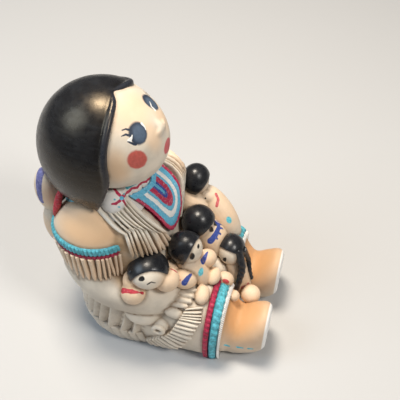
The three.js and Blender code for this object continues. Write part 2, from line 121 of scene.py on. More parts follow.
# On her left the hair's edge lies further back: from which X and height, and how far
FAR_EDGE = Sizes(x=(8.6, 10.6), height=(57, 66), depth=4.6)
HAIR_TIP = (7, 49.7)  # Y and height of its points at her jaw
HAIR_NAPE = (24.6, 53.5)  # the same at the back
NOSE = Sizes(bridge=((0.6, 0.9, 72), 0.9), tip=((0.6, -4.2, 67.5), 1.5),
             wings=Sizes(centre=(0.6, -4.2, 67), radii=(3.1, 1.7, 1.3), tilt=-28))

# Sections up a form: height, front Y, back Y and half width
TORSO = Sizes(
    power=3.1,
    # Her left breast: degrees, height, how far round and how far up it spreads, and its depth
    swell=(-52, 43.5, 24, 6.5, 3.4),
    rows=np.array((
        (18, -9, 18.5, 16.5), (25, -9, 20, 16.5), (31, -7.8, 20.5, 16.5), (37, -7.3, 20.5, 16.7),
        (42, -6, 20, 16.2), (45.5, -3.6, 19, 14.2), (48.5, 0, 17.5, 11), (51, 3, 15.5, 8),
    )),
)
SKIRT = Sizes(
    power=2.3,
    rows=np.array((
        (-1, -14.5, 17.2, 18.4), (0, -14.5, 17.4, 18.6), (5, -16, 19.2, 20), (11, -16, 19.2, 20),
        (17, -14, 18.8, 18.8), (27, -8, 18, 15),
    )),
)
# Sections along a leg: Y, distance from the midline, half width and top
LEG = Sizes(
    power=2.3,
    widest=0.4,
    rows=np.array((
        (-27, 9.8, 7.2, 15), (-24.5, 9.6, 9, 19.2), (-20.7, 9.4, 10.3, 21.6), (-12, 9.4, 10.6, 22.5),
        (-2, 9.4, 10, 21),
    )),
)
LEG_MIDLINE = -0.5
LEG_BAND = (-20.7, -22.2, -24.4)
# Sections along a moccasin: Y, half width, bottom and top. Its flat sole faces forward
SHOE = Sizes(
    across=9.4,
    power=2.2,
    rows=((-24.7, 8.6, -2, 18.4), (-27, 7.3, -2, 14.6), (-29, 7, -2, 12.8),
          (-32, 6.8, -1.2, 15), (-35, 6.4, 0.3, 17.2),
          (-36.6, 5.7, 2, 17), (-37.2, 5, 3.2, 16)),
)
LAP = Sizes(centre=(0, -13, 16), radii=(13, 10, 7.5))
HIP = Sizes(centre=(-18.4, -3.4, 16), radii=(3.2, 5, 3.4))

BIB = Sizes(middle=0.4, half=7.2, top=49.4, sag=0.26, turn=46.3, tip=34.7, power=2.4, rise=0.75)
YOKE = Sizes(bottom=46.6, height=4.4, rise=0.5)
TRIM = Sizes(above=0.6, start=104, end=270, step=10, thick=0.6)  # a painted line round the back
KNOB = Sizes(across=9, centre=(4.8, 49.7), radii=(3.4, 3.2, 3.1))

# The first finger's two ends, the step to the next one and its radii
FINGER = Sizes(start=((-12.2, -8.6, 23.3), (-1.35, 0.3, -0.65)),
               end=((-11.9, -17, 22.6), (-1.4, 0.6, -0.7)),
               radii=(1.1, 0.62))
# The knot of cloth beside a thigh: its ring with two radii, the bulge under it and a fold
KNOT = Sizes(ring=(-21.1, -8.7, 13.8), radii=(1.4, 0.62), bulge=((-19.2, -8.7, 13.6), (1.7, 2.6, 2.5)),
             fold=((-17.8, -10.2, 19.6), (-17.6, -14.4, 18), 1.5))

# Fringes. Angles are in degrees round the body from the front
CAPE = Sizes(
    strands=8,
    arch=3,
    rise=1.2,
    near=((33, 49.6), (12, 37.3), (4, 30.8)),
    far=((98, 49.2), (66, 44), (68, 38.6)),
)
SLEEVE = Sizes(
    centre=(-10, 10.5, 39.5), radii=(9, 10.5, 9.5), hem=40.1, fringe=11, strands=30,
    flare=0.008, forward=0.1, narrow=0.012, turned_up=(-35, 28, 2.2),
)
LOWEST = 0.82  # the least height of a strand, as a share of its row's
SKIRT_FRINGE = Sizes(start=72, end=288, strips=22, foot_strips=35, lean=7, fold=6.6, top=17)
FAN = Sizes(
    strands=17,
    root=((56, -15.2), (40, -14), (16, -12), (0, -8.5), (-12, -4.5)),
    hem=((66, -19.4), (42, -19.8), (12, -17.8), (-16, -13.9), (-36, -5)),
)
ARM = ((-11.5, 10, 40, 7.6), (-12.8, 11.5, 30, 7.4), (-15, 6.5, 24.2, 6.9), (-15.4, 0.5, 22.6, 6.6),
       (-13.7, -5.7, 20.6, 6.3), (-10.5, -10.5, 19.6, 5.2), (-8.7, -14.5, 19.4, 3.4))

# The six children: a skull, the way its face looks, how far forward its hair comes (a bow brings it
# further forward beside the face), and soft pods. Dots on a face are in degrees sideways and down
CHILDREN = {
    "in_right_arm": Sizes(
        centre=(-14.8, -4.9, 32), radii=(5.2, 5, 4.3), face=(-0.76, -0.36, -0.54), cut=0.1,
        bow=0.07, locks=(((-17.4, -1.6, 33.4), (-18.3, -3.3, 30.6), 1.3, 0.5),),
        pods=(((-15.5, -8.7, 29.4), (-13.5, -10.5, 29.4), 3.4),
              ((-11.3, -12, 26), (-9.4, -14.6, 24), 2.9),
              ((-19.4, -2.9, 26.4), (-18, -0.5, 26.4), 3.4),
              ((-18.4, -1.2, 28), (-16.6, -0.8, 31), 2.2),
              ((-10.2, -13, 24.6), (-6.8, -15.4, 21.6), 1.9),
              ((-14.5, 0, 27), (-8, -11, 23), 4.6)),
    ),
    "on_right_knee": Sizes(
        centre=(-5.1, -12.1, 31.4), radii=(4, 4.5, 4.5), face=(-0.16, -0.92, -0.36), cut=0.26,
        bow=0.04, locks=(((-7.9, -12.6, 33.4), (-8.8, -12.2, 29.4), 1.2, 0.5),),
        pods=(((-4.2, -16.4, 26.6), (-2.2, -18.2, 25.4), 2.6),
              ((-6.5, -12, 29), (-6.5, -17.5, 20.5), 3.6),
              ((-4.6, -20.2, 23), (-7.4, -20, 22), 1.9),
              ((-10.6, -18.3, 22), (-13.6, -18.5, 21.4), 2.1)),
    ),
    "on_lap": Sizes(
        centre=(5.2, -12.8, 30.1), radii=(4.4, 4.4, 4.6), face=(-0.12, -0.76, -0.64), cut=0.5,
        second_eye=True,
        pods=(((5.5, -13.5, 29), (4.5, -19.5, 21), 4.4),
              ((3, -17, 27.6), (8, -17.5, 25), 1.8)),
    ),
    "between_knees": Sizes(
        centre=(3.4, -22.7, 23.2), radii=(4.2, 3.6, 4.2), face=(-0.75, 0.2, -0.6), cut=0.1,
        pods=(((3.4, -23, 20.5), (0.5, -27.5, 9), 3.6),
              ((-4.6, -22, 19.8), (-3.4, -23.8, 18.2), 2.3),
              ((-7.4, -25.6, 16.8), (-6.4, -26.6, 16), 1.7),
              ((-3.2, -29.4, 12.4), (-1.8, -31.2, 12), 2.8)),
        braids=(((2.2, -24.6, 25.5, 1.5), (0.2, -26.6, 20.7, 1.15), (-1.6, -26.7, 17.6, 0.9),
                 (-3.2, -26.2, 13.2, 0.6)),
                ((3.2, -26.2, 25, 0.9), (4.2, -27.7, 19.3, 0.75), (2.6, -28.6, 16.3, 0.7),
                 (2, -29.6, 13.3, 0.6))),
    ),
    "in_left_arm": Sizes(
        centre=(15.7, -9.2, 35.2), radii=(4.1, 3.7, 4.5), face=(0.05, -0.76, -0.64), cut=0.5,
        second_eye=True,
        pods=(((13.6, -12.6, 31.8), (16.2, -16.6, 27.2), 2.5),
              ((15.5, -12.5, 31), (12, -21.5, 19.5), 4.2),
              ((13.5, -4, 31), (12.5, -12, 28), 4.6)),
    ),
    "on_back": Sizes(
        centre=(4.2, 24.2, 44.4), radii=(4.4, 3.9, 4.4), face=(0.1, 0.85, -0.5), cut=0.1,
        dots=((BLACK, -24, 0), (BLACK, 24, 0), (ROSE, 0, 30)),
        stripe=((-9.9, 17.6, 52), (-12.4, 19.6, 43), 1.7),
        pods=(((-6.6, 23.6, 51), (-7.2, 22.6, 41), 3.5),
              ((-8, 22.8, 40), (-9, 21.4, 30), 3.4),
              ((3, 21.5, 43), (-9.5, 19.6, 31), 5),
              ((-10.2, 17.8, 51), (-12.4, 19.6, 43.4), 1)),
    ),
}
BRAID = Sizes(turns=44, depth=0.1)  # how its strands wind, in radians, and how far they bulge
POD_REACH = 0.6  # how far a pod runs past its two points, as a share of its radius

# Hollows, in mm: the depth at which one is full, and how near another piece begins to count
HOLLOW = 0.16
NEAR = 0.9

X, Y, Z = (Vector(row) for row in Matrix.Identity(3))


# Working by hand


def take(piece):
    """Selects one object alone."""
    bpy.ops.object.select_all(action="DESELECT")
    piece.select_set(True)
    bpy.context.view_layer.objects.active = piece


def fresh():
    """The primitive just added, with its place and size in its mesh."""
    piece = bpy.context.active_object
    bpy.ops.object.transform_apply(location=True, rotation=True, scale=True)
    return piece


def points_of(piece, kind="co"):
    """Every point of a piece, or its normals there."""
    found = np.empty(3 * len(piece.data.vertices))
    piece.data.vertices.foreach_get(kind, found)
    return found.reshape(-1, 3)


def set_points(piece, points):
    piece.data.vertices.foreach_set("co", np.asarray(points, float).ravel())
    piece.data.update()


def keep(piece, name, values):
    """Keeps a number at every point of a piece for the paint."""
    piece.data.attributes.new(name, "FLOAT", "POINT").data.foreach_set("value", values)


def shape(piece, place):
    """Moves every point of a piece to where place(point) says."""
    set_points(piece, [place(vertex.co) for vertex in piece.data.vertices])
    return piece


def modify(piece, kind, **settings):
    take(piece)
    made = piece.modifiers.new(kind.lower(), kind)
    for name, value in settings.items():
        setattr(made, name, value)
    bpy.ops.object.modifier_apply(modifier=made.name)


def joined(name, parts):
    take(parts[0])
    for part in parts:
        part.select_set(True)
    bpy.ops.object.join()
    piece = bpy.context.active_object
    piece.name = piece.data.name = name
    return piece


def outward(piece):
    """Turns all faces of a closed piece outwards."""
    take(piece)
    bpy.ops.object.mode_set(mode="EDIT")
    bpy.ops.mesh.select_all(action="SELECT")
    bpy.ops.mesh.normals_make_consistent(inside=False)
    bpy.ops.object.mode_set(mode="OBJECT")
    return piece


def sliced(piece, way, places, **settings):
    """Cuts a piece at each place along a way."""
    take(piece)
    bpy.ops.object.mode_set(mode="EDIT")
    for place in places:
        bpy.ops.mesh.select_all(action="SELECT")
        bpy.ops.mesh.bisect(plane_co=place * way, plane_no=way, **settings)
    bpy.ops.object.mode_set(mode="OBJECT")
    return piece


def seated(piece):
    """Flattens what reaches below the table onto it."""
    points = points_of(piece)
    points[:, 2] = np.maximum(points[:, 2], 0)
    set_points(piece, points)
    return piece


def fused(name, parts, kind=None):
    """Overlapping parts as one smooth casting."""
    grain, rounds = CASTING[kind or name]
    piece = joined(name, [outward(part) for part in parts])
    modify(piece, "REMESH", mode="VOXEL", voxel_size=grain)
    modify(piece, "SMOOTH", factor=0.5, iterations=rounds)
    return seated(piece)


# Plain bodies


def ball(around, high, centre=(0, 0, 0), turn=(0, 0, 0), radii=(1, 1, 1)):
    bpy.ops.mesh.primitive_uv_sphere_add(segments=around, ring_count=high, radius=1, location=centre,
                                         rotation=turn, scale=radii)
    return fresh()


def egg(centre, radii, tilt=0, grow=0, around=40, high=24):
    """A ball stretched to three radii and tilted in degrees about X."""
    return ball(around, high, centre, (math.radians(tilt), 0, 0), [radius + grow for radius in radii])


def pill(start, end, thick, thin):
    """A tapered rod with round ends between two points."""
    start, way = Vector(start), Vector(end) - Vector(start)
    turn = way.to_track_quat("Z", "Y").to_matrix()

    def place(point):
        far = point.z > 0.001
        reach = Vector(point) * (thin if far else thick)
        reach.z += way.length if far else 0
        return start + turn @ reach
    return shape(ball(20, 14), place)


def pod(start, end, thick):
    """An egg whose long axis runs from one point to another, and a little past both."""
    start, end = Vector(start), Vector(end)
    way = end - start
    half = way.length / 2 + POD_REACH * thick
    return ball(24, 16, (start + end) / 2, way.to_track_quat("Z", "Y").to_euler(), (thick, thick, half))


def drum(sections, around):
    """A closed drum one unit high, with a ring of points at every section."""
    bpy.ops.mesh.primitive_cylinder_add(vertices=around, radius=1, depth=1, location=(0, 0, 0.5))
    return sliced(fresh(), Z, [k / sections for k in range(1, sections)])


def turn_of(point):
    """Angle of a drum's point, in degrees from the front and positive towards her right."""
    return math.degrees(math.atan2(-point[0], -point[1]))


def curve_at(stops, share):
    """A smooth curve through the stops, at a share of the way along."""
    stops = np.asarray(stops, float)
    along = share * (len(stops) - 1)
    k = min(int(along), len(stops) - 2)
    t = along - k
    before, after = stops[max(k - 1, 0)], stops[min(k + 2, len(stops) - 1)]
    a, b = stops[k], stops[k + 1]
    return 0.5 * (2 * a + (b - before) * t + (2 * before - 5 * a + 4 * b - after) * t * t
                  + (3 * a - before - 3 * b + after) * t ** 3)


def limb(stops, sideways, around=28, sections=24, twist=lambda share, angle: 1):
    """A round limb through its stops, as thick at each as its fourth number says."""
    def place(point):
        share = min(max(point.z, 0), 1)
        here = curve_at(stops, share)
        ahead = Vector((curve_at(stops, min(share + 0.02, 1)) - curve_at(stops, max(share - 0.02, 0)))[:3])
        first = ahead.cross(sideways).normalized()
        second = ahead.cross(first).normalized()
        radius = float(here[3]) * twist(share, math.atan2(point.y, point.x))
        return Vector(here[:3]) + radius * (point.x * first + point.y * second)
    return shape(drum(sections, around), place)


def rounded(value, power):
    return math.copysign(abs(value) ** (2 / power), value)


def row_at(form, key):
    """The row of a form at a key, between its listed rows and eased at each."""
    rows = form.rows
    near = (key - 0.8, key, key + 0.8)
    return [sum(np.interp(near, rows[:, 0], rows[:, i])) / 3 for i in range(1, rows.shape[1])]


# Places on her


def on_form(form, height, degrees, lift=0.0):
    """A point round a form at a height, forward by its swell where it has one."""
    front, back, half = row_at(form, height)
    angle = math.radians(degrees)
    across = -rounded(math.sin(angle), form.power)
    ahead = rounded(math.cos(angle), form.power)
    middle, high, wide, tall, depth = form.get("swell", (0, 0, 1, 1, 0))
    swell = depth * math.exp(-((degrees - middle) / wide) ** 2 - ((height - high) / tall) ** 2)
    forward = ((back - front) / 2 + lift) * ahead + swell
    return Vector(((half + lift) * across, (front + back) / 2 - forward, height))


def facing(point, a, b, step_a, step_b):
    """A point of a surface with its outward direction."""
    first = point(a + step_a, b) - point(a - step_a, b)
    second = point(a, b + step_b) - point(a, b - step_b)
    return point(a, b), first.cross(second).normalized()


def form_place(form, height, degrees):
    return facing(lambda z, turn: on_form(form, z, turn), height, degrees, 1, 2)


def sleeve_place(side, degrees, down):
    """A place round a sleeve, in degrees from the front outwards and in mm below its hem."""
    centre, radii = SLEEVE.centre, SLEEVE.radii
    angle = math.radians(degrees)
    middle, across, lift = SLEEVE.turned_up
    height = SLEEVE.hem - down + lift * math.exp(-((degrees - middle) / across) ** 2)
    above = max(height - centre[2], 0) / radii[2]
    spread = math.sqrt(1 - above * above)
    along = max(down, 0)
    out = Vector((side * math.sin(angle), -math.cos(angle), 0))
    x = radii[0] * spread * math.sin(angle) * (1 + SLEEVE.flare * along) - centre[0]
    y = radii[1] * spread * math.cos(angle) * (1 - SLEEVE.narrow * along)
    return Vector((side * x, centre[1] - SLEEVE.forward * along - y, height)), out


def leg_point(side, degrees, y, lift=0.0):
    """A point round a leg, in degrees up from its outer side, at a Y."""
    across, half, top = row_at(LEG, y)
    angle = math.radians(degrees)
    low = top * LEG.widest
    return Vector((
        LEG_MIDLINE + side * (across + (half + lift) * rounded(math.cos(angle), LEG.power)), y,
        low + (top * (1 - LEG.widest) + lift) * rounded(math.sin(angle), LEG.power),
    ))


def leg_place(side, degrees, y):
    spot, out = facing(lambda along, turn: leg_point(side, turn, along), y, degrees, 1, 2)
    return spot, side * out


def mirrored(side, point):
    """A place listed for her right side, on the side that is asked for."""
    return (-side * point[0],) + tuple(point[1:])


def on_line(points, share):
    points = np.asarray(points, float)
    stops = np.arange(len(points))
    return [np.interp(share * stops[-1], stops, points[:, i]) for i in range(points.shape[1])]


def between(one, other, along, across):
    """A place between two lines, at a share along both and a share across from one to the other."""
    return [a + (b - a) * across for a, b in zip(on_line(one, along), on_line(other, along))]


def ease(value, low, high):
    share = min(max((value - low) / (high - low), 0), 1)
    return share * share * (3 - 2 * share)


# Her head


def set_back(x, height):
    return FAR_EDGE.depth * ease(x, *FAR_EDGE.x) * ease(height, *FAR_EDGE.height)


def hair_front(x, height):
    """Y of the hair's front edge, further back in the notch where it parts."""
    parting = max(1 - abs(x - PARTING[0]) / NOTCH.half, 0) * ease(height, *NOTCH.heights)
    return np.interp(height, *zip(*HAIR_FRONT)) + NOTCH.depth * parting + set_back(x, height)


def hair():
    """A helmet of hair: one ball flattened against her face and under her jaw, with a rim."""
    slope = (HAIR_NAPE[1] - HAIR_TIP[1]) / (HAIR_NAPE[0] - HAIR_TIP[0])

    def place(point):
        y = max(point.y, hair_front(point.x, point.z))
        return Vector((point.x, y, max(point.z, HAIR_TIP[1] + slope * (y - HAIR_TIP[0]))))
    double = 2 * PARTING[0]
    across = tuple((double - x, y + set_back(double - x, z), z, r) for x, y, z, r in reversed(HAIR_RIM))
    rim = limb(HAIR_RIM + (PARTING,) + across, Y, around=14, sections=70)
    return fused("hair", [shape(egg(**HAIR, around=120, high=80), place), rim])


def face():
    """Her face with a small broad nose. It sinks under the hair behind the hair's front edge."""
    (bridge, narrow), (tip, broad) = NOSE.bridge, NOSE.tip
    skull = egg(**FACE, around=90, high=60)
    piece = fused("face", [skull, pill(bridge, tip, narrow, broad), egg(**NOSE.wings)])
    middle = Vector(FACE.centre)

    def sunk(point):
        behind = ease(point.y - hair_front(point.x, point.z), *FACE_EDGE.gap)
        return middle + (point - middle) * (1 - FACE_EDGE.sink * behind)
    return sliced(shape(piece, sunk), Y, [FACE_EDGE.back], clear_outer=True, use_fill=True)


# Her body under the fringes


def trunk(form, low, high):
    def place(point):
        return on_form(form, low + point.z * (high - low), turn_of(point), -UNDER)
    return shape(drum(26, 64), place)


def leg(side):
    """A leg from her lap to just past its beaded band."""
    low, high = LEG_BAND[2] - 0.8, LEG.rows[-1][0]

    def place(point):
        degrees = math.degrees(math.atan2(point.y, point.x))
        return leg_point(side, degrees, low + point.z * (high - low), -UNDER)
    return shape(drum(24, 48), place)


def sleeve_core(side):
    def place(point):
        down = SLEEVE.fringe * (1 - point.z) * 0.95
        spot, out = sleeve_place(side, turn_of(point) * -side, down)
        return spot - UNDER * out
    return shape(drum(10, 48), place)


def dress():
    """Her trunk, skirt, legs, arms and hands as one casting."""
    parts = [trunk(TORSO, 18, 51), trunk(SKIRT, -1, 27), egg(**LAP)]
    for side in SIDES:
        parts += [leg(side), egg(mirrored(side, SLEEVE.centre), SLEEVE.radii)]
        parts.append(limb([mirrored(side, stop) for stop in ARM], X))
        parts += [egg(mirrored(side, HIP.centre), HIP.radii), sleeve_core(side)]
    return fused("dress", parts)


def fingers(side):
    """Four fingers side by side at the end of a forearm."""
    def end_of(name, k):
        return mirrored(side, [first + k * step for first, step in zip(*FINGER[name])])
    return [pill(end_of("start", k), end_of("end", k), *FINGER.radii) for k in range(4)]


def knots():
    """A ring-shaped knot of cloth with its folds beside each thigh, and the fingers above it."""
    parts = []
    for side in SIDES:
        parts += fingers(side)
        bpy.ops.mesh.primitive_torus_add(
            major_radius=KNOT.radii[0], minor_radius=KNOT.radii[1], major_segments=28, minor_segments=14,
            location=mirrored(side, KNOT.ring), rotation=(0, math.pi / 2, 0),
        )
        parts.append(fresh())
        bulge, radii = KNOT.bulge
        start, end, thick = KNOT.fold
        parts += [egg(mirrored(side, bulge), radii), pod(mirrored(side, start), mirrored(side, end), thick)]
    return fused("knots", parts)


# Fringes: one strand is modelled, and each copy of it is laid on the dress


def strand(cuts, soft):
    """A strand lying along +Y, one unit long, wide and high, with its two top edges rounded."""
    bpy.ops.mesh.primitive_cube_add(size=1, location=(0, 0.5, 0.5))
    piece = sliced(fresh(), Y, cuts)
    bpy.ops.object.mode_set(mode="EDIT")
    bpy.ops.mesh.select_all(action="DESELECT")
    model = bmesh.from_edit_mesh(piece.data)
    for edge in model.edges:
        a, b = (vertex.co for vertex in edge.verts)
        edge.select = a.z > 0.9 and b.z > 0.9 and abs(a.x - b.x) < 0.1 and abs(a.y - b.y) > 0.01
    bmesh.update_edit_mesh(piece.data)
    bpy.ops.mesh.bevel(offset=soft, segments=2, affect="EDGES")
    bpy.ops.object.mode_set(mode="OBJECT")
    return piece


def laid(model, place, lean):
    """A copy of the strand, each point moved by place(point), with its depth kept for the wash and painted
    shade.
    """
    piece = model.copy()
    piece.data = model.data.copy()
    bpy.context.collection.objects.link(piece)
    # The low side of a leaning strip counts deeper, which paints shade across it
    keep(piece, "depth", [1 - vertex.co.z * (1 - lean / (2 + lean) * (0.5 - vertex.co.x))
                          for vertex in piece.data.vertices])
    return shape(piece, place)


def row_of_strands(chance, model, side, surface, count, rise, low=0.0, lean=0.0, ends=0.05,
                   sway=0.16, gap=0.34, vary=0.22):
    """Strands side by side, each a little wider, longer or more bent than the next."""
    widths = [1 + chance.uniform(-vary, vary) for _ in range(count)]
    scale = 1 / sum(widths)
    strands = []
    left = 0
    for width in widths:
        right = left + width * scale
        high = rise * chance.uniform(LOWEST, 1.0)
        length = 1 + chance.uniform(-ends, 0)
        bend = chance.uniform(-sway, sway)
        phase = chance.uniform(0, 6)

        def place(point):
            along = point.y * length
            close = 1 - 0.4 * ease(point.y, 0.75, 1)
            wave = bend * math.sin(3.1 * along + phase)
            share = 0.5 + point.x * (1 - gap * point.z) * close + wave
            spot, out = surface(side, left + (right - left) * share, along)
            slant = 1 + lean * (point.x - 0.5)
            lift = low * (0.3 + 0.7 * point.y) + high * slant * (1 - 0.3 * ease(point.y, 0.8, 1))
            return spot + out * (point.z * (lift + ROOT_DEPTH) - ROOT_DEPTH)
        strands.append(laid(model, place, lean))
        left = right
    return strands


def cape_place(side, across, along):
    """A place on the cape, whose upper tier ends halfway along."""
    degrees, height = between(CAPE.near, CAPE.far, along / 2, across)
    height += CAPE.arch * math.sin(math.pi * across) * (1 - abs(1 - along))
    return form_place(TORSO, height, side * -degrees)


def cape_hem(side, across, along):
    return cape_place(side, across, 0.85 + 1.15 * along)


def sleeve_fall(side, across, along):
    return sleeve_place(side, -40 + 240 * across, 2 + (SLEEVE.fringe - 2) * along)


def skirt_place(across, height, slope):
    """A place on the skirt. Towards her front the strips lean more."""
    degrees = SKIRT_FRINGE.start + across * (SKIRT_FRINGE.end - SKIRT_FRINGE.start)
    side = min(max((180 - degrees) / 50, -1), 1)
    share = (height - SKIRT_FRINGE.fold) / (SKIRT_FRINGE.top - SKIRT_FRINGE.fold)
    return form_place(SKIRT, height, degrees + side * SKIRT_FRINGE.lean * (0.5 - slope * share))


def skirt_strip(side, across, along):
    """A place on the broad strips, down to the skirt's widest line."""
    top, end = SKIRT_FRINGE.top, SKIRT_FRINGE.fold - 0.4
    return skirt_place(across, top + (end - top) * along, 1)


def skirt_foot(side, across, along):
    """A place on the narrower strips, from there to the table."""
    spot, out = skirt_place(across, (SKIRT_FRINGE.fold + 0.9) * (1 - along), -1)
    return spot - 0.15 * out, out


def fan_place(side, across, along):
    degrees, y = between(FAN.root, FAN.hem, across, along)
    return leg_place(side, degrees, y)


# Each fringe: its kind of strand, its sides, and its rows with their count, height and habits
FRINGES = {
    "cape_fringe": ("long", SIDES, (
        (cape_hem, CAPE.strands + 2, CAPE.rise * 0.8, dict(ends=0.12, sway=0.28, vary=0.35)),
        (cape_place, CAPE.strands, CAPE.rise, dict(low=0.7, ends=0.14, sway=0.28, vary=0.35)),
    )),
    "sleeve_fringe": ("long", SIDES, (
        (sleeve_fall, SLEEVE.strands, STRAND_RISE, dict(ends=0.2, sway=0.3, gap=0.42, vary=0.35)),
    )),
    "skirt_fringe": ("broad", (1,), (
        (skirt_strip, SKIRT_FRINGE.strips, STRIP_RISE,
         dict(low=0.05, lean=1.5, ends=0.03, sway=0.05, gap=0.14)),
        (skirt_foot, SKIRT_FRINGE.foot_strips, STRIP_RISE,
         dict(low=0.1, lean=0.4, ends=0.02, sway=0.06, gap=0.18)),
    )),
    "thigh_fans": ("long", SIDES, ((fan_place, FAN.strands, STRAND_RISE, dict(ends=0.04, sway=0.08)),)),
}


# Beaded bands


def band(name, around, beads, low, high, rise, slant=0.0):
    """A rounded band round each sleeve or leg, swelled by its beads. The grooves between them are kept."""
    bands = []
    for side in SIDES:
        grooves = []

        def place(point):
            degrees = turn_of(point)
            spot, out = around(side, degrees, low + (high - low) * point.z)
            crown = math.sqrt(max(1 - (2 * point.z - 1) ** 6, 0))
            swell = abs(math.cos(math.radians(degrees) * beads / 2 + slant * point.z))
            grooves.append(1 - swell)
            return spot + out * (rise * crown * (0.55 + 0.45 * swell) - 0.05)
        bands.append(shape(drum(7, beads * 5), place))
        keep(bands[-1], "groove", grooves)
    return seated(outward(joined(name, bands)))


# The beaded bib and the yoke


def bib_half(height):
    """Half the bib's width at a height: straight above its turn, rounded to a point below."""
    if height > BIB.turn:
        return BIB.half
    share = (BIB.turn - height) / (BIB.turn - BIB.tip)
    return BIB.half * max(1 - share ** BIB.power, 0) ** (1 / BIB.power)


def chest_place(x, height, lift):
    """A point on the front of her chest at an X and a height."""
    def point(x, height):
        share = min(abs(x) / row_at(TORSO, height)[2], 0.999)
        degrees = -math.degrees(math.asin(math.copysign(share ** (TORSO.power / 2), x)))
        return on_form(TORSO, height, degrees)
    spot, out = facing(point, x, height, 0.5, 0.5)
    return spot + lift * out


# Outer edge of each U as a share of the bib, from the middle outwards, with its paint
BIB_BANDS = ((0.055, SKY), (0.16, ROYAL), (0.36, CRIMSON), (0.48, SKY), (0.66, WHITE), (0.88, SKY),
             (1.01, CRIMSON))
BEADS = 3.6  # how quickly bead follows bead along a band, in radians per mm


def bib():
    """A shield of beadwork in nested U-shaped bands, each a low ridge of beads."""
    bpy.ops.mesh.primitive_grid_add(x_subdivisions=96, y_subdivisions=110, size=1)
    piece = fresh()
    piece.name = piece.data.name = "bib"
    tall = BIB.top - BIB.tip
    edges = [0] + [edge for edge, _ in BIB_BANDS]
    kept_values = {"ring": [], "run": [], "below_top": []}

    def place(point):
        height = BIB.tip + tall * (point.y + 0.5)
        x = 2 * point.x * bib_half(height + 0.02)
        drop = max(BIB.turn - height, 0) / (BIB.turn - BIB.tip)
        ring = (abs(x / BIB.half) ** BIB.power + drop ** BIB.power) ** (1 / BIB.power)
        bow = math.atan2(max(BIB.turn - height, 0), abs(x) + 0.01)
        run = height if height > BIB.turn else BIB.turn - bow * 6
        k = min(sum(ring > edge for edge in edges[1:]), len(edges) - 2)
        share = (ring - edges[k]) / (edges[k + 1] - edges[k])
        ridge = math.sqrt(max(1 - (2 * share - 1) ** 2, 0))
        bead = abs(math.cos(run * BEADS + 1.3 * k))
        below_top = (0.5 - point.y) * tall
        for name, value in (("ring", ring), ("run", run), ("below_top", below_top)):
            kept_values[name].append(value)
        height -= BIB.sag * (BIB.half - math.hypot(x, 1)) * (point.y + 0.5)
        lift = BIB.rise + 0.22 * ridge + 0.12 * bead * ridge + 0.2 * ease(below_top, 1.15, 0.85)
        return chest_place(BIB.middle + x, height, lift)
    shape(piece, place)
    for name, values in kept_values.items():
        keep(piece, name, values)
    modify(piece, "SOLIDIFY", thickness=1.3, offset=-1)
    return piece


def yoke():
    """A smooth yoke round her neck, with a round knob where each end meets her hair."""
    def place(point):
        return on_form(TORSO, YOKE.bottom + point.z * YOKE.height, turn_of(point), YOKE.rise)
    knobs = [egg((side * KNOB.across,) + KNOB.centre, KNOB.radii) for side in SIDES]
    return fused("yoke", [shape(drum(10, 72), place)] + knobs)


# Moccasins


def moccasins():
    shoes = []
    for side in SIDES:
        def place(point):
            y, half, low, top = curve_at(SHOE.rows, min(max(point.z, 0), 1))
            x = half * rounded(point.x, SHOE.power)
            z = (low + top) / 2 + (top - low) / 2 * rounded(point.y, SHOE.power)
            return Vector((LEG_MIDLINE + side * SHOE.across + x, y, z))
        shoes.append(shape(drum(40, 64), place))
    return fused("moccasins", shoes)


# The children


def child_skin(name, child):
    parts = [egg(child.centre, child.radii)] + [pod(*each) for each in child.pods]
    return fused("child_" + name, parts, "child")


def child_hair(name, child):
    """A cap of hair flattened where the face begins, with any locks or braids hanging from it."""
    way = Vector(child.face).normalized()
    aside = way.cross(Z).normalized()
    centre = Vector(child.centre)
    edge = child.cut * child.radii[1]

    def place(point):
        bow = child.get("bow", 0) * (point - centre).dot(aside) ** 2
        return point - max((point - centre).dot(way) - edge - bow, 0) * way

    def twist(share, angle):
        return 1 + BRAID.depth * math.sin(share * BRAID.turns + 2 * angle) * ease(share, 0.1, 0.4)
    parts = [shape(egg(child.centre, child.radii, grow=0.42, around=64, high=40), place)]
    parts += [limb(stops, X, 24, 60, twist) for stops in child.get("braids", ())]
    parts += [pill(*lock) for lock in child.get("locks", ())]
    return fused("hair_" + name, parts, "child_hair")


# Marks are painted where the eye of the camera sees them, on the piece that carries them. Each is the
# name of its effect, its paint and the effect's own inputs


def seen(tree, u, v):
    """The point of a piece behind a dot of the picture, or its nearest point to that line of sight."""
    scale = FRAME * LENS / SENSOR
    way = (AHEAD + RIGHT * ((u - FRAME / 2) / scale) + UP * ((FRAME / 2 - v) / scale)).normalized()
    spot = tree.ray_cast(EYE, way)[0]
    if spot is None:
        far = (tree.find_nearest(Vector((0, 0, 30)))[0] - EYE).length
        for _ in range(12):
            spot = tree.find_nearest(EYE + way * far)[0]
            far = (spot - EYE).dot(way)
    return spot


def tree_of(piece):
    return BVHTree.FromObject(piece, bpy.context.evaluated_depsgraph_get())


def oval(paint, centre, first, second, soft=0.12):
    """An oval mark between two half-axes."""
    normal = first.cross(second)
    return "painted spot", paint, {
        "Centre": centre, "Softness": soft, "Reach": 1.25 * max(first.length, second.length),
        "First": second.cross(normal) / first.dot(second.cross(normal)),
        "Second": normal.cross(first) / second.dot(normal.cross(first)),
    }


def spot(tree, paint, middle, across, along, turn=0, soft=0.12):
    """An oval mark: its middle and its two radii in dots of the picture, turned in degrees."""
    u, v = middle
    c, s = math.cos(math.radians(turn)), math.sin(math.radians(turn))
    centre = seen(tree, u, v)
    share = 0.4
    first = (seen(tree, u + share * across * c, v + share * across * s) - centre) / share
    second = (seen(tree, u - share * along * s, v + share * along * c) - centre) / share
    return oval(paint, centre, first, second, soft)


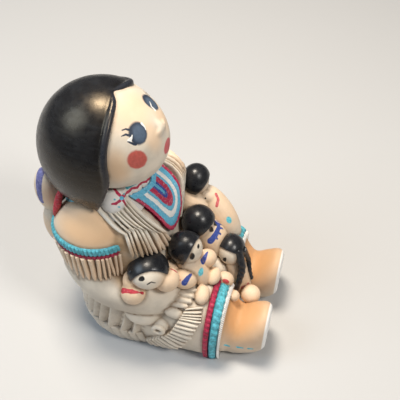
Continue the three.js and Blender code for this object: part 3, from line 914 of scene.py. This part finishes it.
def dab(paint, start, end, thick, thin=None):
    start, thin = Vector(start), thick if thin is None else thin
    way = Vector(end) - start
    return "painted stroke", paint, {"Start": start, "Way": way, "Thick": thick, "Thin": thin}


def dabs_of(tree, paint, dots, start, end=None):
    """Brush strokes from dot to dot, with their radius in mm at the start and the end."""
    end = start if end is None else end
    places = [seen(tree, u, v) for u, v in dots]
    last = len(places) - 1
    radii = [start + (end - start) * k / last for k in range(last + 1)]
    return [dab(paint, places[k], places[k + 1], *radii[k:k + 2]) for k in range(last)]


def marks_of(tree, name):
    """The marks that are listed under a name: an oval has one dot, and brush strokes have several."""
    marks = []
    for paint, sizes, *places in MARKS[name]:
        for dots in places:
            several = isinstance(dots[0], tuple)
            marks += dabs_of(tree, paint, dots, *sizes) if several else [spot(tree, paint, dots, *sizes)]
    return marks


def reflected(mark, middle, across):
    """The same mark on the other side of a face, given its middle and the way across it."""
    effect, paint, inputs = mark
    other = dict(inputs)
    for name, value in inputs.items():
        if isinstance(value, Vector):
            base = middle if name in ("Centre", "Start") else Vector()
            other[name] = value - 2 * (value - base).dot(across) * across
    return effect, paint, other


def her_other(marks):
    """The same marks on the other side of her face."""
    return [reflected(mark, MIDLINE * X, X) for mark in marks]


def face_dots(child):
    """Round marks on a child's face, each a paint and its degrees sideways and down."""
    way = Vector(child.face).normalized()
    aside = way.cross(Z).normalized()
    down = way.cross(aside)

    def place(turn, drop):
        a, b = math.radians(turn), math.radians(drop)
        ray = (way * math.cos(b) + down * math.sin(b)) * math.cos(a) + aside * math.sin(a)
        reach = 1 / math.sqrt(sum((ray[i] / child.radii[i]) ** 2 for i in range(3)))
        return Vector(child.centre) + ray * reach
    return [dab(paint, place(turn, drop), place(turn, drop + 1), 0.6)
            for paint, turn, drop in child.get("dots", ())]


# Finishes


def add(tree, kind, inputs=(), out=0, **settings):
    """An output of a new node. Each of its inputs is given a value or another node's output."""
    made = tree.nodes.new("ShaderNode" + kind)
    for name, value in settings.items():
        setattr(made, name, value)
    for key, value in dict(inputs).items():
        if isinstance(value, bpy.types.NodeSocket):
            tree.links.new(value, made.inputs[key])
        else:
            made.inputs[key].default_value = value
    return made.outputs[out]


def number(tree, operation, *values, clamp=False):
    return add(tree, "Math", dict(enumerate(values)), operation=operation, use_clamp=clamp)


def vector(tree, operation, *values):
    out = "Value" if operation in ("DOT_PRODUCT", "LENGTH") else "Vector"
    return add(tree, "VectorMath", dict(enumerate(values)), out, operation=operation)


def scaled(tree, value, scale):
    return add(tree, "VectorMath", {0: value, "Scale": scale}, operation="SCALE")


def noise(tree, place, scale, detail, out=0):
    return add(tree, "TexNoise", {"Vector": place, "Scale": scale, "Detail": detail}, out)


def fade(tree, value, low, high, start=0.0, end=1.0):
    """A soft step from start to end as the value goes from low to high."""
    return add(tree, "MapRange", {"Value": value, "From Min": low, "From Max": high, "To Min": start,
                                  "To Max": end}, interpolation_type="SMOOTHSTEP")


def cloudy(tree, place, scale, detail, *steps):
    """A soft step over clouds of a size."""
    return fade(tree, noise(tree, place, scale, detail), *steps)


def over(tree, share, under, top):
    """One colour laid over another where the mask says."""
    under, top = (colour if isinstance(colour, bpy.types.NodeSocket) else (*colour, 1)
                  for colour in (under, top))
    return add(tree, "Mix", {0: share, 6: under, 7: top}, 2, data_type="RGBA")


def darker(paint, share):
    return tuple(value * share for value in paint)


def painted_spot(tree, given):
    off = vector(tree, "SUBTRACT", given["Place"], given["Centre"])
    a, b = (vector(tree, "DOT_PRODUCT", off, given[way]) for way in ("First", "Second"))
    squares = number(tree, "ADD", number(tree, "MULTIPLY", a, a), number(tree, "MULTIPLY", b, b))
    low, high = (number(tree, way, 1.0, given["Softness"]) for way in ("SUBTRACT", "ADD"))
    mask = fade(tree, number(tree, "SQRT", squares), low, high, 1.0, 0.0)
    near = number(tree, "LESS_THAN", vector(tree, "LENGTH", off), given["Reach"])
    return number(tree, "MULTIPLY", mask, near)


def painted_stroke(tree, given):
    off = vector(tree, "SUBTRACT", given["Place"], given["Start"])
    along = vector(tree, "DOT_PRODUCT", off, given["Way"])
    length = vector(tree, "DOT_PRODUCT", given["Way"], given["Way"])
    share = number(tree, "DIVIDE", along, length, clamp=True)
    gap = vector(tree, "LENGTH", vector(tree, "SUBTRACT", off, scaled(tree, given["Way"], share)))
    change = number(tree, "SUBTRACT", given["Thin"], given["Thick"])
    radius = number(tree, "ADD", given["Thick"], number(tree, "MULTIPLY", change, share))
    return fade(tree, number(tree, "SUBTRACT", gap, radius), -0.06, 0.06, 1.0, 0.0)


def soft_tint(tree, given):
    off = vector(tree, "DIVIDE", vector(tree, "SUBTRACT", given["Place"], given["Centre"]), given["Radii"])
    mask = fade(tree, vector(tree, "LENGTH", off), 0.3, 1.1, 1.0, 0.0)
    return number(tree, "MULTIPLY", mask, given["Strength"])


def brushed_wash_and_shade(tree, given):
    """Where the thin brown wash and painted shade lie: in hollows and grooves, broken up by the brush."""
    patches = cloudy(tree, given["Place"], 0.16, 4.0, 0.36, 0.62, 0.55, 1.0)
    streaks = cloudy(tree, given["Place"], 1.4, 3.0, 0.3, 0.62, 0.7, 1.0)
    deep = number(tree, "MULTIPLY", given["Hollow"], number(tree, "MULTIPLY", patches, streaks))
    return number(tree, "MULTIPLY", deep, given["Strength"], clamp=True)


def clay_grain(tree, given):
    """Height of the fine grain of cast clay under paint."""
    fine = number(tree, "MULTIPLY", noise(tree, given["Place"], 3.2, 4.0), given["Coarse"])
    return number(tree, "ADD", fine, noise(tree, given["Place"], 0.5, 2.0))


def effect(name, result, vectors, floats, build):
    """A node group with named inputs and one value out, which build(tree, inputs) makes."""
    tree = bpy.data.node_groups.new(name, "ShaderNodeTree")
    for kind, labels in (("Vector", vectors), ("Float", floats)):
        for label in labels:
            tree.interface.new_socket(label, in_out="INPUT", socket_type="NodeSocket" + kind)
    tree.interface.new_socket(result, in_out="OUTPUT", socket_type="NodeSocketFloat")
    made = build(tree, tree.nodes.new("NodeGroupInput").outputs)
    tree.links.new(made, tree.nodes.new("NodeGroupOutput").inputs[0])
    return tree


# Their vectors in, numbers in, and the function that makes each
EFFECTS = {name: effect(name, *sockets) for name, *sockets in (
    ("painted spot", "Mask", ("Place", "Centre", "First", "Second"), ("Reach", "Softness"), painted_spot),
    ("painted stroke", "Mask", ("Place", "Start", "Way"), ("Thick", "Thin"), painted_stroke),
    ("soft tint", "Mask", ("Place", "Centre", "Radii"), ("Strength",), soft_tint),
    ("brushed wash", "Mask", ("Place",), ("Hollow", "Strength"), brushed_wash_and_shade),
    ("clay grain", "Height", ("Place",), ("Coarse",), clay_grain),
)}


def use(tree, name, **inputs):
    return add(tree, "Group", inputs, node_tree=EFFECTS[name])


def new_paint(name, *pieces):
    """A new material on the pieces: its nodes, and object coordinates turned back to layout millimetres."""
    material = bpy.data.materials.new(name)
    material.use_nodes = True
    for piece in pieces:
        piece.data.materials.append(material)
    tree = material.node_tree
    place = add(tree, "TexCoord", out="Object")
    return tree, add(tree, "Mapping", {"Vector": place, "Scale": (1 / MM,) * 3, "Location": -ORIGIN})


def kept(tree, name):
    """A number kept on the piece's own mesh."""
    return add(tree, "Attribute", out="Fac", attribute_name=name)


def washed_and_shaded(tree, place, colour, strength, paint):
    """Thin dark wash over a colour where it stays in the hollows, which paints shade there too."""
    wash_and_shade_mask = use(tree, "brushed wash", Place=place, Hollow=kept(tree, "hollow"), Strength=strength)
    return over(tree, wash_and_shade_mask, colour, paint)


def finish(tree, place, colour, rough, specular=0.35, coarse=0.4):
    """Closes a material: its colour, a roughness that varies, and the clay's grain."""
    shader = tree.nodes["Principled BSDF"]
    shader.inputs["Specular IOR Level"].default_value = specular
    height = use(tree, "clay grain", Place=place, Coarse=coarse)
    for name, made in (
        ("Base Color", colour),
        ("Roughness", cloudy(tree, place, 0.6, 3.0, 0.3, 0.7, *rough)),
        ("Normal", add(tree, "Bump", {"Height": height, "Strength": 0.5, "Distance": GRAIN_DEPTH * MM})),
    ):
        tree.links.new(made, shader.inputs[name])


def marked(tree, place, colour, marks, thin, full):
    """Painted marks laid over a colour, with edges that waver as a brush does."""
    shake = noise(tree, place, 1.1, 2.0, "Color")
    off = scaled(tree, vector(tree, "SUBTRACT", shake, (0.5, 0.5, 0.5)), 0.35)
    wavering = vector(tree, "ADD", place, off)
    uneven = cloudy(tree, place, 1.6, 3.0, 0.3, 0.7, thin, full)
    for name, paint, inputs in marks:
        mask = use(tree, name, Place=wavering, **inputs)
        colour = over(tree, mask, colour, scaled(tree, paint, uneven))
    return colour


def clay(piece, ground=CREAM, tints=(), marks=(), wash=0.8, dust=0.0, front=None, thin=0.72, full=1.18):
    """Painted clay: a ground, soft tints, sharp marks, and brown wash left in the hollows as painted shade
    too.

    In front of the Y given in front the ground takes another paint.
    """
    tree, place = new_paint(piece.name + " paint", piece)
    colour = over(tree, cloudy(tree, place, 0.22, 4.0, 0.35, 0.65), darker(ground, 0.86), ground)
    for paint, centre, radii, strength in tints:
        mask = use(tree, "soft tint", Place=place, Centre=centre, Radii=radii, Strength=strength)
        colour = over(tree, mask, colour, paint)
    if front:
        paint, y, soft = front
        across = add(tree, "SeparateXYZ", {0: place}, "Y")
        colour = over(tree, fade(tree, across, y - soft, y + soft, 1.0, 0.0), colour, paint)
    colour = marked(tree, place, colour, marks, thin, full)
    if dust:
        colour = over(tree, cloudy(tree, place, 2.6, 6.0, 0.54, 0.66, 0.0, dust), colour, DUST)
    finish(tree, place, washed_and_shaded(tree, place, colour, wash, WASH_AND_SHADE), (0.5, 0.68))


def hair_paint(piece, sheen=(1, 1, 1)):
    """Near-black paint, rubbed a little lighter by the brush, with wear and a bluish painted sheen on
    convex edges.
    """
    tree, place = new_paint(piece.name + " paint", piece)
    stretched = add(tree, "Mapping", {"Vector": place, "Scale": (0.35, 0.35, 1.6)})
    colour = over(tree, cloudy(tree, stretched, 0.9, 6.0, 0.35, 0.75), BLACK, RUBBED_BLACK)
    # Convex edges lighter and bluish: rubbed paint and a painted sheen
    colour = over(tree, number(tree, "MULTIPLY", kept(tree, "edge"), 0.35), colour, EDGE_WEAR_AND_SHEEN)
    tree.nodes["Principled BSDF"].inputs["Specular Tint"].default_value = (*sheen, 1)
    finish(tree, place, colour, (0.25, 0.35), 0.42)


def bead_paint(paint, *pieces):
    """Beaded bands: full colour on the crests, painted shade in the grooves, pale where the brush missed.
    """
    tree, place = new_paint(pieces[0].name + " beads", *pieces)
    colour = over(tree, cloudy(tree, place, 1.3, 4.0, 0.35, 0.62), darker(paint, 0.55), paint)
    colour = over(tree, cloudy(tree, place, 2.4, 5.0, 0.6, 0.72, 0.0, 0.16), colour, CREAM)
    # Painted shade in the grooves between the beads
    groove = fade(tree, kept(tree, "groove"), 0.5, 0.9, 0.0, 0.75)
    colour = over(tree, groove, colour, darker(paint, 0.4))
    finish(tree, place, washed_and_shaded(tree, place, colour, 0.9, darker(paint, 0.35)), (0.45, 0.65), coarse=1.0)


def bib_paint(piece):
    """The bib's U-shaped bands in turn, and one turquoise band along its top."""
    tree, place = new_paint(piece.name + " paint", piece)
    shake = cloudy(tree, place, 1.5, 2.0, 0.3, 0.7, -0.009, 0.009)
    colour = add(tree, "ValToRGB", {"Fac": number(tree, "ADD", kept(tree, "ring"), shake)})
    ramp = colour.node.color_ramp
    ramp.interpolation = "CONSTANT"
    while len(ramp.elements) < len(BIB_BANDS):
        ramp.elements.new(0.5)
    start = 0
    for element, (edge, paint) in zip(ramp.elements, BIB_BANDS):
        element.position = start
        element.color = (*paint, 1)
        start = edge
    colour = over(tree, fade(tree, kept(tree, "below_top"), 0.95, 1.05, 1.0, 0.0), colour, SKY)
    turned = number(tree, "MULTIPLY", kept(tree, "run"), BEADS)
    beads = number(tree, "ABSOLUTE", number(tree, "SINE", turned))
    missed = number(tree, "MULTIPLY", cloudy(tree, place, 2.2, 4.0, 0.54, 0.7, 0.0, 0.4), beads)
    # Blue-black wash in the bib's hollows, which paints shade there too
    colour = washed_and_shaded(tree, place, over(tree, missed, colour, WHITE), 0.3, BLUE_WASH_AND_SHADE)
    finish(tree, place, colour, (0.45, 0.62), coarse=1.0)


# Hollows for wash and painted shade: each point's depth between its neighbours, and how close another piece
# is


def neighbours_mean(points, edges, rounds):
    count = np.bincount(edges.ravel(), minlength=len(points))[:, None]
    for _ in range(rounds):
        total = np.stack([
            sum(np.bincount(edges[:, k], points[edges[:, 1 - k], axis], len(points)) for k in (0, 1))
            for axis in range(3)
        ], axis=1)
        points = total / np.maximum(count, 1)
    return points


def nearness(piece, points, clouds):
    """One where another piece touches, fading out within a millimetre."""
    low, high = points.min(axis=0) - 1, points.max(axis=0) + 1
    near = np.concatenate([cloud[((cloud > low) & (cloud < high)).all(axis=1)][::2]
                           for other, cloud in clouds.items() if other is not piece])
    if not len(near):
        return np.zeros(len(points))
    tree = kdtree.KDTree(len(near))
    for i, point in enumerate(near):
        tree.insert(point, i)
    tree.balance()
    return np.clip(1 - np.array([tree.find(point)[2] for point in points]) / NEAR, 0, 1)


def keep_hollows(pieces):
    clouds = {piece: points_of(piece) for piece in pieces}
    for piece, points in clouds.items():
        mesh = piece.data
        edges = np.empty(2 * len(mesh.edges), int)
        mesh.edges.foreach_get("vertices", edges)
        spread = neighbours_mean(points, edges.reshape(-1, 2), 10)
        sunk = np.einsum("ij,ij->i", spread - points, points_of(piece, "normal")) / HOLLOW
        hollow = np.maximum(np.clip(sunk, 0, 1), nearness(piece, points, clouds))
        # A strand's kept depth sets its wash and painted shade instead
        if "depth" in mesh.attributes:
            depth = np.empty(len(points))
            mesh.attributes["depth"].data.foreach_get("value", depth)
            hollow = np.clip(depth * 2.4 - 0.3, 0, 1)
        keep(piece, "hollow", hollow)
        keep(piece, "edge", np.clip(-sunk, 0, 1))


# Making her

chance = random.Random(7)
made = [hair(), face(), dress(), knots(), yoke(), bib(), moccasins()]
models = {"long": strand((0.12, 0.26, 0.4, 0.55, 0.7, 0.84, 0.94), 0.34),
          "broad": strand((0.2, 0.4, 0.6, 0.8, 0.94), 0.12)}
for name, (kind, sides, rows) in FRINGES.items():
    strands = []
    for side in sides:
        for surface, count, rise, habits in rows:
            strands += row_of_strands(chance, models[kind], side, surface, count, rise, **habits)
    made.append(seated(joined(name, strands)))
for model in models.values():
    bpy.data.objects.remove(model)
made += [
    band("sleeve_turquoise", sleeve_place, 64, -1.2, 1.1, BEAD_RISE, 1.2),
    band("sleeve_crimson", sleeve_place, 58, 1.0, 2.5, BEAD_RISE * 0.9, 1.2),
    band("leg_crimson", leg_place, 46, LEG_BAND[0], LEG_BAND[1], BEAD_RISE),
    band("leg_turquoise", leg_place, 34, LEG_BAND[1], LEG_BAND[2], BEAD_RISE * 1.4),
    band("leg_edging", leg_place, 110, LEG_BAND[2] + 0.1, LEG_BAND[2] - 0.7, BEAD_RISE * 1.4),
]
for part in (child_skin, child_hair):
    made += [part(name, child) for name, child in CHILDREN.items()]
pieces = {piece.name: piece for piece in made}

# Painting her. Each row of marks has a paint, sizes and dots of the picture. The sizes of an oval are its
# two radii in dots, its turn in degrees and how soft it is, and those of strokes their radius in mm at the
# start and the end

MARKS = {
    "eye": ((NAVY, (9.1, 11.6, -8), (138.2, 133.4)), (SLATE, (6.4, 9, -12, 0.3), (139.6, 133.6))),
    "lashes": (
        (WHITE, (0.5, 0.12), ((129.6, 140.6), (131, 138), (132.2, 135.4))),
        (NAVY, (0.26, 0.14), ((130.6, 130.4), (126, 129), (122, 130.2))),
        (NAVY, (0.28, 0.14), ((130.4, 135.6), (126, 134.4), (121.6, 136))),
        (NAVY, (0.34, 0.12), ((135.5, 144.2), (131, 143.2), (127.8, 141.8))),
    ),
    "cheek": ((BRICK, (10, 8.9, -25), (137.5, 160)),),
    "glints": (
        (WHITE, (0.26, 0.1), ((141.6, 123.4), (144.4, 126.4), (146, 129.6))),
        (WHITE, (0.12, 0.34), ((149.8, 101.9), (151.5, 106.4), (155, 109.9))),
    ),
    "yoke": (
        (CRIMSON, (0.5, 0.35), ((121, 196.5), (117.5, 193), (114, 188.5))),
        (CRIMSON, (0.45, 0.3), ((123, 196.5), (128, 192), (132, 188.5))),
        (CRIMSON, (0.4, 0.25), ((120, 200.5), (116, 203.5), (112, 204)),
         ((123, 200), (125, 203.5), (125.5, 206))),
        (SKY, (2.2, 2.2), (121.8, 198)), (TURQUOISE, (1.1, 1.1), (114.6, 199.6)),
        (TURQUOISE, (1.4, 0.9), (119, 207)), (TURQUOISE, (0.8, 1.2), (124, 194)),
        (CRIMSON, (0.3, 0.25), ((132, 188.5), (137, 187.5), (141, 183), (146, 181.5), (150, 178))),
        (TURQUOISE, (0.45, 0.3), ((127, 187.6), (131, 186))),
        (TURQUOISE, (0.7, 0.6), ((61, 191), (66, 196.5), (71, 200), (76, 203))),
        (TURQUOISE, (0.4, 0.3), ((127, 187.2), (133, 184.6), (138, 181.4))),
    ),
    "moccasins": ((TURQUOISE, (0.42, 0.3), ((225, 345), (229, 346.2)), ((237.5, 347.2), (242.5, 348)),
                   ((248.5, 348.6), (252.5, 349))),),
    "in_right_arm": (
        (BLACK, (3.2, 2.6, -10), (141.4, 278.9)),
        (BLACK, (0.2, 0.12), ((147.6, 284.4), (151, 282.2), (155.4, 282.6))),
        (RED, (0.75, 0.35), ((122.5, 290.5), (132, 291.5), (143, 293.2))),
        (RED, (0.25, 0.2), ((171, 269), (176.5, 272), (180, 280))),
        (ROYAL, (0.85, 0.25), ((184.5, 283), (188, 277.5), (193.5, 271.5))),
    ),
    "on_right_knee": (
        (BLACK, (2.5, 3.3, 20), (192.2, 256.6)), (BLACK, (1.2, 2.4, 10), (198.4, 246.3)),
        (ROYAL, (0.85, 0.2), ((202.5, 261.5), (205, 257), (207.6, 251.8))),
        (TURQUOISE, (2.4, 4.4, 20, 0.25), (201, 272)),
    ),
    "on_lap": (
        (BLACK, (1.9, 2.8, 25), (211, 229)),
        (ROYAL, (0.5, 0.9), ((216.6, 218.6), (218.8, 225), (217.2, 231.5), (210.4, 241))),
        (ROYAL, (0.38, 0.3), ((217.6, 220), (221.5, 219.6)), ((218.6, 223.5), (223, 223.4)),
         ((218.6, 227.6), (222.6, 228.6)), ((217, 232), (220.4, 234)), ((214.6, 235.4), (217, 238.6))),
    ),
    "between_knees": (
        (BLACK, (1.9, 1.9), (224.5, 259.7)), (RED, (3.6, 2.2, 15), (226, 281.5)),
        (ROSE, (0.5, 0.45), ((242.4, 287.8), (248.5, 284))),
    ),
    "on_back": (
        (LILAC, (1.1, 0.8), ((42, 168.5), (39, 177), (38.6, 189), (41, 201))),
        (ROYAL, (0.35, 0.25), ((50, 236), (52, 239))), (TURQUOISE, (0.35, 0.25), ((46, 229), (48, 233))),
    ),
    "in_left_arm": (
        (BLACK, (0.9, 0.9), (205.4, 198.3)), (ROSE, (0.4, 0.4), ((216, 194), (218.2, 199.5), (216.6, 206))),
        (TURQUOISE, (2.6, 3.6, -20), (229, 220)),
    ),
}
# Soft tints on her: paint, centre, radii and strength
# Beside her nose the peach tints also paint the soft shade there
FACE_TINTS = ((PEACH, (-2, 0, 74), (9, 7, 6), 0.5), (PEACH, (-3.2, -4.2, 68), (3, 4, 6), 0.45),
              (PEACH, (4, -4.5, 68), (4, 4, 6), 0.45), (PEACH, (-12, 1, 64), (4, 5, 9), 0.7))
CAPE_TINTS = ((PEACH, (-9, -8, 36), (8, 7, 7), 0.5), (PEACH, (14, -4, 44), (7, 7, 6), 0.6),
              (GOLD, (-15, -3, 39), (4.5, 5, 6), 0.75))

skin = tree_of(pieces["face"])
eye, lashes, cheek, glints = (marks_of(skin, name) for name in ("eye", "lashes", "cheek", "glints"))
far_eye = her_other(eye)
for _, _, inputs in far_eye:
    inputs["Centre"] += FAR_EYE_SHIFT
mouth = oval(ROSE, Vector((MIDLINE - 0.4, -6.65, 62.4)), 2.1 * X, 1.8 * Z)
face_marks = eye + far_eye + lashes + cheek + her_other(cheek + lashes) + glints + [mouth]
clay(pieces["face"], CREAM, FACE_TINTS, face_marks, 0.5, thin=0.9, full=1.06)
hair_paint(pieces["hair"], SHEEN)

cloth = tree_of(pieces["dress"])
tints = [(PEACH, (side * 15, 9, 45), (10, 13, 8), 0.9) for side in SIDES]
tints.append((DUST, (4, -9, 38), (10, 5, 9), 0.6))
# Painted shadow on the dress below her right sleeve's fringe, beside the child in her arm
tints += [(GOLD, seen(cloth, 125, v), (3.5, 4.5, 4.5), 0.75) for v in (246, 262, 278)]
# Painted shade under each forearm
tints += [(UNDERARM_SHADE, mirrored(side, seen(cloth, 118, 308)), (7, 10, 5), 0.4) for side in SIDES]
clay(pieces["dress"], CREAM, tints, wash=1.0)
clay(pieces["knots"], wash=0.9)

trim = [on_form(TORSO, YOKE.bottom + TRIM.above, degrees, YOKE.rise)
        for degrees in range(TRIM.start, TRIM.end, TRIM.step)]
trim_marks = [dab(TURQUOISE, a, b, TRIM.thick) for a, b in zip(trim, trim[1:])]
clay(pieces["yoke"], WHITE, (), marks_of(tree_of(pieces["yoke"]), "yoke") + trim_marks, 0.6)
bib_paint(pieces["bib"])
# The cape is painted lighter to make up for the shadow her head casts on it
clay(pieces["cape_fringe"], CAPE_CREAM_LIGHTENED, CAPE_TINTS, wash=1.0, dust=0.25)
tints = [(PEACH, (side * 19, 8, 34), (11, 15, 9), 0.55) for side in SIDES]
clay(pieces["sleeve_fringe"], CREAM, tints, wash=1.0, dust=0.25)
for name in ("skirt_fringe", "thigh_fans"):
    clay(pieces[name], wash=1.0, dust=0.25)
bead_paint(TURQUOISE, pieces["sleeve_turquoise"], pieces["leg_turquoise"])
bead_paint(CRIMSON, pieces["sleeve_crimson"], pieces["leg_crimson"])
clay(pieces["leg_edging"], WHITE, wash=0.1)
tints = [(TAN, (LEG_MIDLINE + side * SHOE.across, -29, 13), (12, 14, 13.5), 1.0) for side in SIDES]
marks = marks_of(tree_of(pieces["moccasins"]), "moccasins")
clay(pieces["moccasins"], CREAM, tints, marks, 0.4, front=(WHITE, -36.4, 0.2))

for name, child in CHILDREN.items():
    piece = pieces["child_" + name]
    marks = marks_of(tree_of(piece), name)
    if "second_eye" in child:
        across = Vector(child.face).cross(Z).normalized()
        marks.insert(1, reflected(marks[0], Vector(child.centre), across))
    if "stripe" in child:
        marks.insert(0, dab(RED, *child.stripe))
    tints = [(PEACH, (Vector(start) + Vector(end)) / 2, (thick * 1.8,) * 3, 0.65)
             for start, end, thick in child.pods]
    clay(piece, CREAM, tints, marks + face_dots(child), 0.9, 0.12)
    hair_paint(pieces["hair_" + name])

keep_hollows(made)
for piece in made:
    set_points(piece, (points_of(piece) + np.array(ORIGIN)) * MM)
    take(piece)
    bpy.ops.object.shade_smooth_by_angle(angle=math.radians(50))
    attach(piece, "root")
    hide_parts(NODE)


# The stage, in metres


def lamp(name, place, aim, size, power, colour):
    """A square lamp aimed at a height above the figure's middle."""
    light = bpy.data.lights.new(name, "AREA")
    light.size, light.energy, light.color = size, power, colour
    made = bpy.data.objects.new(name, light)
    bpy.context.scene.collection.objects.link(made)
    made.location = place
    made.rotation_euler = (Vector((0, 0, aim)) - Vector(place)).to_track_quat("-Z", "Y").to_euler()


scene = bpy.context.scene
camera = bpy.data.objects.new("camera", bpy.data.cameras.new("camera"))
camera.data.lens, camera.data.sensor_width, camera.data.clip_start = LENS, SENSOR, 0.01
scene.collection.objects.link(camera)
rows = zip(RIGHT, UP, -AHEAD, (EYE + ORIGIN) * MM)
camera.matrix_world = Matrix([*rows, (0, 0, 0, 1)])
scene.camera = camera

bpy.ops.mesh.primitive_plane_add(size=3)
floor = bpy.context.active_object
floor.name = "floor"
new_paint("pale floor", floor)
pale = floor.data.materials[0].node_tree.nodes["Principled BSDF"].inputs
pale["Base Color"].default_value = (0.5, 0.5, 0.5, 1)
pale["Roughness"].default_value = 0.7

lamp("overhead", (0.07, 0.07, 0.46), 0.03, 0.13, 2.45, (1.0, 0.9, 0.77))
lamp("window", (-0.15, 0.33, 0.4), 0.05, 0.26, 1.2, (0.72, 0.86, 1.0))
lamp("front", (-0.09, -0.26, 0.38), 0.03, 0.1, 0.95, (1.0, 0.96, 0.9))
scene.world = bpy.data.worlds.new("studio")
scene.world.use_nodes = True
sky = scene.world.node_tree.nodes["Background"].inputs
sky["Color"].default_value = (0.9, 0.93, 1.0, 1)
sky["Strength"].default_value = 0.1
scene.view_settings.view_transform = "Standard"
